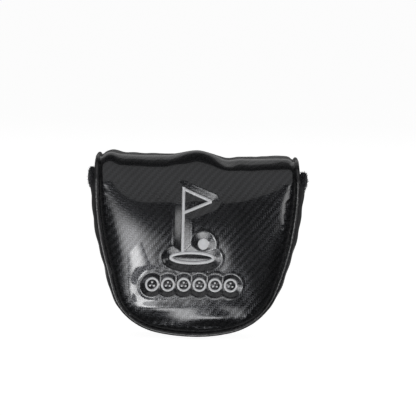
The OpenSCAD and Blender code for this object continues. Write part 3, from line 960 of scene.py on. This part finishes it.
def swollen_sheet(columns, rows, fold_rows):
    over_fold = resized(FOLD_SWELL, fold_rows + 1, columns)[1:]
    moves = np.concatenate([resized(FRONT_SWELL, rows, columns), over_fold])
    return front_sheet(columns, rows, fold_rows) + moves


FRONT_SWELL, FOLD_SWELL = front_swell()


def flat_places(grid, start):
    """Each point's place on the uncut sheet: x across it, and the way along it, which begins at start."""
    steps = np.linalg.norm(np.diff(grid[:, grid.shape[1] // 2], axis=0), axis=1)
    along = start + np.concatenate([[0], np.cumsum(steps)])
    return np.stack([grid[..., 0], np.broadcast_to(along[:, None], grid.shape[:2])], axis=-1)


# ---- Placing the pieces: the sheet's pieces stay where they are made, the others ride on the pouch ----


def over_front_fold(piece):
    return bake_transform(piece)


def over_back_fold(piece):
    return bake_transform(piece)


def in_pouch(piece):
    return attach(piece, "pouch")


# ---- Leather, padding and lining of the sheet ----


def make_front_leather():
    """The leather of the front panel, the fold and the top. On the uncut sheet the panel's points keep their
    height, and the fold goes on from its start."""
    columns, rows, fold_rows = (int(length / CELL) for length in (122, 88, 32))
    outer = swollen_sheet(columns, rows, fold_rows)
    flat = flat_places(outer, 0)
    flat[rows:, :, 1] += FOLD_START_Z - flat[rows - 1, 0, 1]
    flat[:rows, :, 1] = outer[:rows, :, 2]
    inner = offset(blurred(outer, 12), SHELL_T)
    piece = slab("front_leather", outer, inner, CARBON, flat)
    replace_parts(over_front_fold(piece), "front_shell", "top_shell")


def make_flap_leather():
    columns, rows, fold_rows = (int(length / (CELL * 1.4)) for length in (122, 56, 30))
    outer = swollen(flap_sheet(columns, rows, fold_rows), every=3, cap=0.9)
    flat = flat_places(outer, FLAT_TO_FLAP)
    piece = slab("flap_leather", outer, offset(outer, SHELL_T), CARBON, flat)
    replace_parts(over_back_fold(piece), "flap_shell")


def make_stiffener():
    """The felted sheet behind the leather that the embroidery is stitched through."""
    low, high = box_mm("embroidery_backing")
    top, under = 1.3, 1.65                   # how deep its two faces lie under the leather's face
    x = np.linspace(low[0], high[0], 48)
    z = np.linspace(low[2], high[2], 58)
    outside = blurred(on_front(np.stack(np.meshgrid(x, z), axis=-1)), 3)
    piece = slab("embroidery_stiffener", offset(outside, top), offset(outside, under), STIFFENER)
    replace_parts(in_pouch(piece), "embroidery_backing")


def make_inside(label, grid, deep, foam_top, rides, parts, flat=None, lining_t=LINING_T):
    """The padding under a panel's leather and the plush lining under the padding. deep is how far below the
    grid the padding's underside lies, and parts are the CAD's names for the panel."""
    lining_top = offset(grid, deep + PLY_GAP)
    lining_under = offset(grid, deep + PLY_GAP + lining_t)
    padding = rides(slab(f"{label}_padding", foam_top, offset(grid, deep), FOAM, flat))
    lining = rides(slab(f"{label}_plush", lining_top, lining_under, PLUSH, flat))
    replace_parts(padding, *[f"{part}_foam" for part in parts])
    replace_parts(lining, *[f"{part}_lining" for part in parts])


def full_middle(columns):
    """Shares of the padding's depth across a panel: nothing at its sides and full over most of its width."""
    return 1 - np.abs(np.linspace(-1, 1, columns)) ** 3


def make_front_inside():
    columns, rows, fold_rows = 70, 50, 22
    grid = front_sheet(columns, rows, fold_rows, INSIDE_INSET, detailed=False)
    row = np.arange(rows + fold_rows)[:, None]
    foot_rows, fold_start, fold_reach = 14, 46, 10
    share = smooth_step(row / foot_rows) * (1 - 0.8 * smooth_step((row - fold_start) / fold_reach))
    # The padding is squeezed where the embroidery draws the leather in.
    outside = blurred(front_sheet(columns, rows, fold_rows, INSIDE_INSET), 2)
    deep = 2.6 + 3.2 * full_middle(columns) * share
    make_inside("front", grid, deep, offset(outside, 1.75), over_front_fold, ["front", "top"],
                flat=flat_places(grid, 0))


def make_flap_inside():
    columns = 70
    grid = flap_sheet(columns, 34, 22, INSIDE_INSET, detailed=False)
    deep = 2.6 + 0.6 * full_middle(columns)
    make_inside("flap", grid, deep, offset(grid, 1.3), over_back_fold, ["flap"],
                flat=flat_places(grid, FLAT_TO_FLAP))


# ---- Piping ----

PIPING_STEP = 0.7                            # between the points along a piping's line


def front_piping_line():
    q = np.linspace(0, MIDDLE_Q, 120)[1:]
    seam = in_plane(both_halves(front_seam.points), -SEAM_Y)
    return resampled(np.concatenate([piping_over_top(q, -1)[::-1], seam, piping_over_top(q, 1)]), PIPING_STEP)


def flap_piping_line():
    q = np.linspace(MIDDLE_Q, 3, 120)[:-1]
    edge = in_plane(both_halves(flap_line().points), FLAP_Y - PIPING_R)
    return resampled(np.concatenate([piping_over_top(q, -1), edge, piping_over_top(q, 1)[::-1]]), PIPING_STEP)


def back_piping_line():
    return resampled(in_plane(BACK_OUTLINE, SEAM_Y), PIPING_STEP)


def creased(distance, angle):
    """Slanted creases of leather wrapped on the bias."""
    slanted = distance * 2.3 + 2.2 * np.sin(angle)
    return 1 + 0.012 * np.sin(slanted) + 0.012 * np.sin(distance * 0.9 + 3 * np.cos(angle + 1))


def twisted(distance, angle):
    """Three strands laid round each other."""
    return 1 + 0.14 * np.cos(3 * angle + distance * 1.6)


def make_piping():
    lines = {
        "front": (front_piping_line(), over_front_fold, ["front", "top"]),
        "flap": (flap_piping_line(), over_back_fold, ["flap"]),
        "back": (back_piping_line(), in_pouch, ["back"]),
    }
    for label, (line, rides, parts) in lines.items():
        cover_name, filler_name = f"{label}_piping_cover", f"{label}_filler_cord"
        cover = tube(cover_name, line, PIPING_R, PIPING, sides=18, shape=creased)
        filler = tube(filler_name, line[2:-2], FILLER_R, FILLER, sides=9, shape=twisted)
        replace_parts(rides(cover), *[f"{part}_piping" for part in parts])
        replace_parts(rides(filler), *[f"{part}_piping_cord" for part in parts])


def make_piping_joint():
    """The short overlap where the piping's cover starts and ends, low on the right side."""
    low_z, high_z = 4, 31
    clearance, thickness = 0.05, 0.28
    seam = in_plane(front_seam.points, -SEAM_Y)
    line = resampled(seam[(seam[:, 2] > low_z) & (seam[:, 2] < high_z)], 0.5)
    fade = smooth_step((np.linspace(1, 0, len(line)) - 0.02) / 0.5)[:, None]
    lap = PIPING_R + clearance + thickness * fade
    in_pouch(tube("piping_joint", line, lap, PIPING, sides=18, shape=creased))


# ---- Gusset, back panel and mouth ----

BACK_TOP_Z = box_mm("back_shell")[1][2]
BACK_OUTLINE = both_halves(seam_line(BACK_TOP_Z).points)
CUFF_FRONT_Z = 45.0                          # the cuff's middle at the front
CUFF_BACK_Z = 31.0
CUFF_HALF = (2.4, 4.5)                       # its half thickness and half height
CUFF_FRONT_Y = box_mm("mouth_cuff")[0][1]
GUSSET_REACH = 14.55                         # the cuff slopes from this far in front to this far behind
GUSSET_BOW = (2.5, 5.0)                      # how far the gusset bows out at the bottom and beside the mouth
GUSSET_TUCK = 0.6                            # how far its top edge runs up into the cuff
UNDER_LEATHER = 1.4                          # from the gusset's and the back's faces in to their padding
BACK_CROWN = 5.9


def cuff_z(y):
    return mix(CUFF_FRONT_Z, CUFF_BACK_Z, np.clip(y / GUSSET_REACH + 1, 0, 2) / 2)


def gusset_bow(y, z):
    up = np.clip((z - SEAM_FOOT) / (CUFF_FRONT_Z - SEAM_FOOT), 0, 1)
    return mix(GUSSET_BOW[0], GUSSET_BOW[1], up ** 1.5) * (1 - np.minimum((y / SEAM_Y) ** 2, 1))


def gusset_sheet(rows, columns, reach, detailed=True):
    """Grid points of the gusset's outer face. Columns run from its left end round to its right end."""
    outline = seam_line(CUFF_FRONT_Z)
    y = np.linspace(reach, -reach, rows)[:, None]
    end = outline.distance_at_height(cuff_z(y) - CUFF_HALF[1] + GUSSET_TUCK)
    along = np.linspace(-1, 1, columns) * end
    place = outline.at(np.abs(along))
    step = 0.2
    ahead = outline.at(np.abs(along) + step) - outline.at(np.maximum(np.abs(along) - step, 0))
    ahead /= np.linalg.norm(ahead, axis=-1, keepdims=True)
    outwards = np.stack([ahead[..., 1], -ahead[..., 0]], axis=-1)
    spread = gusset_bow(y, place[..., 1])
    if detailed:
        edge = SEAM_Y - np.abs(y)
        wave = np.sin(along * 0.42 + 1.6 * np.sin(y / 7)) + 0.7 * np.sin(along * 0.19 + 2 + y / 9)
        spread = 0.8 * spread + 0.8 * roll(edge) + 0.22 * wave * smooth_step((edge - 2) / 8)
    x, z = np.moveaxis(place + outwards * spread[..., None], -1, 0)
    return np.stack([x * np.where(along < 0, -1, 1), np.broadcast_to(y, along.shape), z], axis=-1)


def make_gusset():
    outer = gusset_sheet(44, 330, reach=SEAM_Y - 0.3)
    shell = slab("gusset_leather", outer, offset(outer, SHELL_T), LEATHER)
    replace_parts(in_pouch(shell), "gusset_shell")
    under = gusset_sheet(20, 150, reach=SEAM_Y - 2.6, detailed=False)
    deep = 3.4
    foam_top = offset(under, UNDER_LEATHER)
    make_inside("gusset", under, deep, foam_top, in_pouch, ["gusset"], lining_t=1.15)


def back_height(edge, rolled=True):
    return puffed(edge, BACK_CROWN, 0.5 * ROLL_HEIGHT if rolled else 0)


def back_sheet(columns, rows, inset=0.0, detailed=True):
    """Grid points of the back panel's outer face, from its top down."""
    points = panel_patch(seam_line(BACK_TOP_Z, inset), CORNER, columns, rows)[::-1]
    x, z = points[..., 0], points[..., 1]
    edge = distance_to(points, BACK_OUTLINE)
    height = back_height(edge, detailed)
    if detailed:
        height += 0.35 * np.sin(x / 15 + 1) * np.sin(z / 11 + 0.5) * smooth_step(edge / 10)
        height += edge_puckers(points, edge)
    return np.stack([x, SEAM_Y + height, z], axis=-1)


def make_back():
    outer = swollen(back_sheet(130, 95), every=2, cap=1.2)
    shell = slab("back_leather", outer, offset(outer, SHELL_T), LEATHER)
    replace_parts(in_pouch(shell), "back_shell")
    columns, rows = 60, 45
    under = back_sheet(columns, rows, INSIDE_INSET, detailed=False)
    from_foot = np.arange(rows)[::-1, None]
    deep = 2.3 + 2.0 * full_middle(columns) * smooth_step(from_foot / 14)
    make_inside("back", under, deep, offset(under, UNDER_LEATHER), in_pouch, ["back"])


def cuff_line():
    """The cuff's middle line, from its left front end round the back to its right front end."""
    outline = seam_line(CUFF_FRONT_Z)
    side_end_y = 8
    corner = 7.0                             # the way across from a side's end to the back's start
    back_bow, back_half_width = 4.5, 62
    y = np.linspace(CUFF_FRONT_Y + 1.2, side_end_y, 60)
    side = outline.at(outline.distance_at_height(cuff_z(y)))[:, 0]
    stand_out = mix(2.6, 0.2, smooth_step((y + 9) / 9))
    x = side + gusset_bow(y, cuff_z(y)) + stand_out - CUFF_HALF[0]
    right = np.stack([x, y, cuff_z(y)], axis=1)
    back_x = np.linspace(x[-1] - corner, 0, 50)
    back_y = SEAM_Y - 1 + back_bow * (1 - np.abs(back_x / back_half_width) ** 3)
    back = np.stack([back_x, back_y, np.full_like(back_x, CUFF_BACK_Z)], axis=1)
    half = resampled(np.concatenate([right, back]), 0.4)
    for _ in range(60):
        half[1:-1] = mix(half[1:-1], (half[:-2] + half[2:]) / 2, 0.9)
    return resampled(both_halves(half[::-1]), 0.27)


def band(name, line, thick, tall, material, sides):
    """A flat-sided band along the cuff's line, with its half thickness and half height at each point."""
    along = np.gradient(line, axis=0)
    outwards = np.stack([along[:, 1], -along[:, 0], 0 * along[:, 0]], axis=1)
    outwards *= np.sign((outwards * line).sum(1, keepdims=True))
    outwards /= np.linalg.norm(outwards, axis=1, keepdims=True)
    angles = circle(sides)
    flat_sided = np.sign(np.cos(angles)) * np.abs(np.cos(angles)) ** 0.75
    rings = (
        line[:, None]
        + (thick[:, None] * flat_sided)[..., None] * outwards[:, None]
        + (tall[:, None] * np.sin(angles))[..., None] * np.array([0, 0, 1.0])
    )
    piece = tube_piece(name, rings, Line(line).distances[:, None], angles * tall.mean(), material)
    return in_pouch(piece), rings


def make_cuff():
    """The rib-knit cuff, gathered at its ends, and the flat elastic inside it."""
    line = cuff_line()
    path = Line(line)
    distance = path.distances
    rounding = 3.2                           # the length over which each end closes
    left_gather, right_gather = 0.38, 0.12
    rib_height, rib_pitch = 0.30, 1.7
    from_end = np.minimum(distance, path.length - distance)
    close = np.sqrt(np.clip(1 - (1 - np.minimum(from_end / rounding, 1)) ** 2, 0.0025, 1))
    gather = np.where(distance < path.length / 2, left_gather, right_gather)
    gather *= np.exp(-((from_end - 2) / 7) ** 2)
    ribs = rib_height * np.abs(np.sin(math.pi * distance / rib_pitch)) ** 0.7
    rng = np.random.default_rng(4)
    lumps = 0.18 * np.convolve(rng.normal(size=len(distance)), np.hanning(13), "same") / 2.2
    thick = (CUFF_HALF[0] + ribs + lumps - 0.2) * close
    tall = (CUFF_HALF[1] * (1 + gather) + ribs * 0.8 - 0.2) * close
    cuff, rings = band("knitted_cuff", line, thick, tall, KNIT, sides=30)
    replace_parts(cuff, "mouth_cuff")
    make_cuff_fuzz(rings)
    inside = line[12:-12:2]
    ripple = 0.06 * np.sin(Line(inside).distances * 4)
    elastic, _ = band("flat_elastic", inside, 0.45 + ripple, 2.6 + ripple, ELASTIC, sides=16)
    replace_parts(elastic, "mouth_elastic")


def make_cuff_fuzz(rings):
    """Loose fibres over the cuff, thickest at its ends."""
    rng = random.Random(7)
    fuzz = Bundle()
    count, sides = rings.shape[:2]
    middles = rings.mean(1)
    for index in range(2600):
        near_end = index % 2
        row = int(rng.random() ** 2 * 90) if near_end else rng.randrange(count)
        row = count - 1 - row if rng.random() < 0.6 else row
        start = rings[row, rng.randrange(sides)]
        away = start - middles[row]
        away /= max(np.linalg.norm(away), 0.1)
        bend = np.array([rng.uniform(-1, 1) for _ in range(3)])
        length = rng.uniform(0.25, 1.1)
        middle = start + away * length * 0.5 + 0.15 * bend
        tip = start + away * length + 0.45 * bend
        fuzz.add([start - 0.1 * away, middle, tip], [0.09, 0.07, 0.02], sides=3)
    in_pouch(fuzz.piece("cuff_fuzz", KNIT, "knit"))


def stitched_rectangle(name, xs, zs, surface_y, length, gap, count):
    """A rectangle of stitches on a surface, each pulled in at its ends. surface_y gives y for places (x, z),
    and count is how many of them it is asked for along each side."""
    corners = np.array([(xs[0], zs[0]), (xs[1], zs[0]), (xs[1], zs[1]), (xs[0], zs[1]), (xs[0], zs[0])])
    stations = length * np.array([0, 0.15, 0.5, 0.85, 1])
    lift = np.array([-0.25, 0.06, 0.16, 0.06, -0.25])
    radii = 0.24 * np.array([0.7, 1, 1.05, 1, 0.7])
    stitches = Bundle()
    for a, b in zip(corners, corners[1:]):
        places = mix(a, b, np.linspace(0, 1, count)[:, None])
        path = Line(np.stack([places[:, 0], surface_y(places), places[:, 1]], axis=1))
        for start in np.arange(gap / 2, path.length - length, length + gap):
            stitches.add(path.at(start + stations) + lift[:, None] * BACKWARDS, radii, sides=6)
    return stitches.piece(name, BLACK_THREAD, "thread")


# ---- Closure ----

hook_low, hook_high = box_mm("hook_patch")
LOOP_MARGIN = 2.0


def make_hook_patch():
    """The hook patch under the flap: its CAD base stays, and rows of moulded hooks stand on it."""
    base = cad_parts["hook_patch"].data.materials
    base.clear()
    base.append(HOOKS)
    hook = np.array([[0, 0, 0], [0, -0.35, 0.02], [0, -0.62, 0.14], [0, -0.62, 0.38], [0, -0.45, 0.46]])
    pitch = 1.5
    hooks = Bundle()
    for x in np.arange(hook_low[0] + 1.5, hook_high[0] - 1, pitch):
        for z in np.arange(hook_low[2] + 1.2, hook_high[2] - 1, pitch):
            foot = np.array([x, hook_low[1] + 0.1, z])
            hooks.add(foot + hook, [0.14, 0.11, 0.10, 0.09, 0.05], sides=4)
    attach(hooks.piece("moulded_hooks", HOOKS, "hook"), "flap")


def back_face_y(places):
    return SEAM_Y + back_height(distance_to(places, BACK_OUTLINE))


def loop_surface(columns, rows, above):
    """Grid points of the loop patch's face, this far above the back panel."""
    z = np.linspace(hook_low[2] - LOOP_MARGIN, hook_high[2] + LOOP_MARGIN, rows)[::-1]
    x = np.linspace(hook_low[0] - LOOP_MARGIN, hook_high[0] + LOOP_MARGIN, columns)
    places = np.stack(np.meshgrid(x, z), axis=-1)
    return np.stack([places[..., 0], back_face_y(places) + above, places[..., 1]], axis=-1)


def make_loop_patch():
    """The napped loop patch on the back panel, sewn round its edge."""
    columns, rows = 90, 34
    thickness, sunk, rough = 1.15, 0.3, 0.12
    top = loop_surface(columns, rows, thickness)
    rng = np.random.default_rng(11)
    top[1:-1, 1:-1, 1] += rng.uniform(-rough, rough, (rows - 2, columns - 2))
    patch = slab("loop_patch_cloth", top, loop_surface(columns, rows, -sunk), NAP)
    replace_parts(in_pouch(patch), "loop_patch")
    loops = Bundle()
    draw = random.Random(3)
    loop = (-0.6, 0), (-0.4, 0.28), (0.4, 0.34), (0.6, 0)
    for _ in range(1500):
        foot = top[draw.randrange(2, rows - 2), draw.randrange(2, columns - 2)]
        turn = draw.uniform(0, 2 * math.pi)
        side = np.array([math.cos(turn), 0, math.sin(turn)]) * 0.45
        loops.add([foot + side * over + BACKWARDS * up for over, up in loop], 0.06, sides=3)
    in_pouch(loops.piece("loop_nap", NAP, "loop"))
    xs, zs = top[1, [1, -2], 0], top[[1, -2], 1, 2]

    def face(places):
        return back_face_y(places) + 1.2

    in_pouch(stitched_rectangle("loop_patch_stitches", xs, zs, face, length=2.1, gap=0.8, count=60))


def make_flap_stitches():
    """The hook patch's stitching, which shows as a rectangle on the outside of the flap."""
    inset = 2.0
    xs = hook_low[0] + inset, hook_high[0] - inset
    zs = hook_low[2] + inset, hook_high[2] - inset
    face = y_finder(flap_patch(160, 90), start_y=90)
    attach(stitched_rectangle("flap_stitches", xs, zs, face, length=2.4, gap=0.9, count=80), "flap")


# ---- Embroidery ----

def satin(bundle, face, line, width, pitch=0.34):
    """Threads laid side by side across a stroke, each a low arch from one edge to the other."""
    path = Line(line)
    rng = random.Random(int(path.length * 100))
    slant = 0.35
    stations = np.arange(pitch / 2, path.length, pitch)
    ahead = path.at(np.minimum(stations + 0.1, path.length)) - path.at(np.maximum(stations - 0.1, 0))
    ahead /= np.linalg.norm(ahead, axis=1, keepdims=True)
    for middle, direction in zip(path.at(stations), ahead):
        across = np.array([-direction[1], direction[0]]) + slant * direction
        half = across * width / 2 * rng.uniform(0.94, 1.05)
        thread_arch(bundle, face, middle - half, middle + half, THREAD_RISE * rng.uniform(0.9, 1.08))


def thread_arch(bundle, face, start, end, rise):
    shares = np.array([0, 0.12, 0.35, 0.65, 0.88, 1])[:, None]
    lift = rise * np.array([-0.25, 0.45, 0.95, 0.95, 0.45, -0.25])
    base = face([(start + end) / 2])[0]
    x, z = mix(start, end, shares).T
    bundle.add(np.stack([x, base - lift, z], axis=1), [0.15, 0.20, 0.21, 0.21, 0.20, 0.15])


def make_embroidery():
    face = y_finder(swollen_front(200, 140), start_y=-90)
    emblem = Bundle()
    stick, flag, green = emblem_strokes()
    for line in (stick, flag[:2], flag[1:], green):
        satin(emblem, face, line, LINE_WIDTH)
    pitch, slope = 0.33, 0.25
    for z in np.arange(-BALL_R + 0.2, BALL_R, pitch):
        half = math.sqrt(BALL_R ** 2 - z * z)
        thread_arch(emblem, face, BALL_MIDDLE + [-half, z], BALL_MIDDLE + [half, z + slope], THREAD_RISE)
    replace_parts(in_pouch(emblem.piece("emblem_stitching", WHITE_THREAD, "thread")), "emblem_embroidery")

    row = Bundle()
    dimple_r = 1.4
    for x, ring in zip(ROW_X, row_strokes()):
        satin(row, face, ring, RING_WIDTH, pitch=0.32)
        for turn in np.radians([90, 210, 330]):
            spot = np.array([x + dimple_r * math.cos(turn), ROW_Z + dimple_r * math.sin(turn)])
            for shift in (-0.3, 0.0, 0.3):
                thread_arch(row, face, spot + [-0.5, shift], spot + [0.5, shift], THREAD_RISE * 0.9)
    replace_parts(in_pouch(row.piece("row_stitching", WHITE_THREAD, "thread")), "row_embroidery")


# ---- Camera, lights and floor ----

def plane(name, half_x, half_y, z=0.0):
    """A level rectangle on the stage, and a material for it."""
    mesh = bpy.data.meshes.new(name)
    corners = [(-half_x, -half_y, z), (half_x, -half_y, z), (half_x, half_y, z), (-half_x, half_y, z)]
    mesh.from_pydata(corners, [], [(0, 1, 2, 3)])
    shader = Shader(name)
    mesh.materials.append(shader.material)
    return add_object(name, mesh), shader


def make_camera():
    """A long lens straight in front, a little above, with the cover left of and below the middle."""
    data = bpy.data.cameras.new("camera")
    data.sensor_width = 36
    data.lens = 190
    view_width = 0.2655
    elevation = math.radians(6)
    lean = math.radians(-1.15)               # the cover sits slightly clockwise in the picture
    low, high = cad_bounds
    aim = (low + high) / 2 + Vector((0.0069, 0, 0.0235))
    away = Vector((0, -math.cos(elevation), math.sin(elevation)))
    camera = add_object("camera", data)
    camera.location = aim + away * view_width * data.lens / data.sensor_width
    facing = Euler((math.pi / 2 - elevation, 0, 0)).to_matrix() @ Matrix.Rotation(-lean, 3, "Z")
    camera.matrix_world = Matrix.Translation(camera.location) @ facing.to_4x4()
    bpy.context.scene.camera = camera


def aim_at_cover(light, azimuth, elevation, distance, turn=0.0):
    """Turns a light to the cover. Azimuth 0 is in front and 90 on the right, in degrees."""
    a, e = math.radians(azimuth), math.radians(elevation)
    away = Vector((math.sin(a) * math.cos(e), -math.cos(a) * math.cos(e), math.sin(e)))
    light.location = Vector((0, -0.02, 0)) + away * distance
    facing = away.to_track_quat("Z", "Y").to_matrix() @ Matrix.Rotation(math.radians(turn), 3, "Z")
    light.rotation_euler = facing.to_euler()
    light.visible_camera = False


def softbox(name, size, radiance, *place):
    data = bpy.data.lights.new(name, "AREA")
    data.shape = "RECTANGLE"
    data.size, data.size_y = size
    data.energy = radiance * math.pi * size[0] * size[1]
    aim_at_cover(add_object(name, data), *place)


def glow_panel(name, size, radiance, *place):
    """A diffuser with a bright middle that fades towards its edges."""
    half_x, half_y = size[0] / 2, size[1] / 2
    panel, s = plane(name, half_x, half_y)
    aim_at_cover(panel, *place)
    from_middle = s.node("VectorMath", {0: s.place((1 / half_x, 1 / half_y, 1))}, operation="LENGTH")
    glow = s.ramp(from_middle.outputs["Value"], 1.0, 0.2, interpolation_type="SMOOTHSTEP")
    strength = s.math("MULTIPLY", glow, radiance)
    s.set(base_color=(0, 0, 0, 1), roughness=1.0, emission_color=(1, 1, 1, 1), emission_strength=strength)
    panel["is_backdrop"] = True


def make_lights():
    """Each light has a size in metres and a radiance, then its azimuth, elevation, distance and turn."""
    softbox("overhead_softbox", (2.6, 1.5), 0.46, 0, 49, 1.2)
    softbox("back_softbox", (2.0, 1.2), 0.38, 180, 40, 1.6)
    glow_panel("back_glow", (0.9, 0.7), 0.9, 180, -16, 1.1)
    glow_panel("left_key", (1.15, 0.75), 4.5, -23, -12, 1.0, -14)
    glow_panel("left_core", (0.40, 0.62), 13.0, -22, -15, 1.0, 20)
    glow_panel("right_strip", (0.34, 0.42), 3.4, 35, 2, 1.0)
    glow_panel("low_front", (0.80, 0.56), 5.5, -1, -38, 0.9)


def make_world():
    """White behind the cover, where the camera sees it, and dim in front."""
    world = bpy.data.worlds.new("studio")
    bpy.context.scene.world = world
    nodes = Nodes(world)
    _, backwards, _ = nodes.parts(nodes.node("TexCoord").outputs["Generated"])
    behind = nodes.ramp(backwards, -0.15, 0.5, 0.006, 0.08, interpolation_type="SMOOTHSTEP")
    by_camera = nodes.node("LightPath").outputs["Is Camera Ray"]
    seen = nodes.node("Mix", {0: by_camera, 2: behind, 3: 1.0}).outputs[0]
    nodes.put(nodes.tree.nodes["Background"], "Strength", seen)
    nodes.put(nodes.tree.nodes["Background"], "Color", (1, 1, 1, 1))


def make_floor():
    """A plain, nearly white floor under the cover's lowest point."""
    half = 30.0
    floor, s = plane("floor", half, half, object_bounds()[0].z)
    s.set(base_color=(0.35, 0.35, 0.35, 1), roughness=0.9)
    s.set(emission_color=(1, 1, 1, 1), emission_strength=0.955)
    floor.visible_glossy = False
    floor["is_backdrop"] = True


make_camera()
make_front_leather()
make_stiffener()
make_flap_leather()
make_front_inside()
make_flap_inside()
make_piping()
make_piping_joint()
make_gusset()
make_back()
make_cuff()
make_hook_patch()
make_loop_patch()
make_flap_stitches()
make_embroidery()
make_lights()
make_world()
make_floor()

bpy.context.scene.view_settings.view_transform = "Standard"
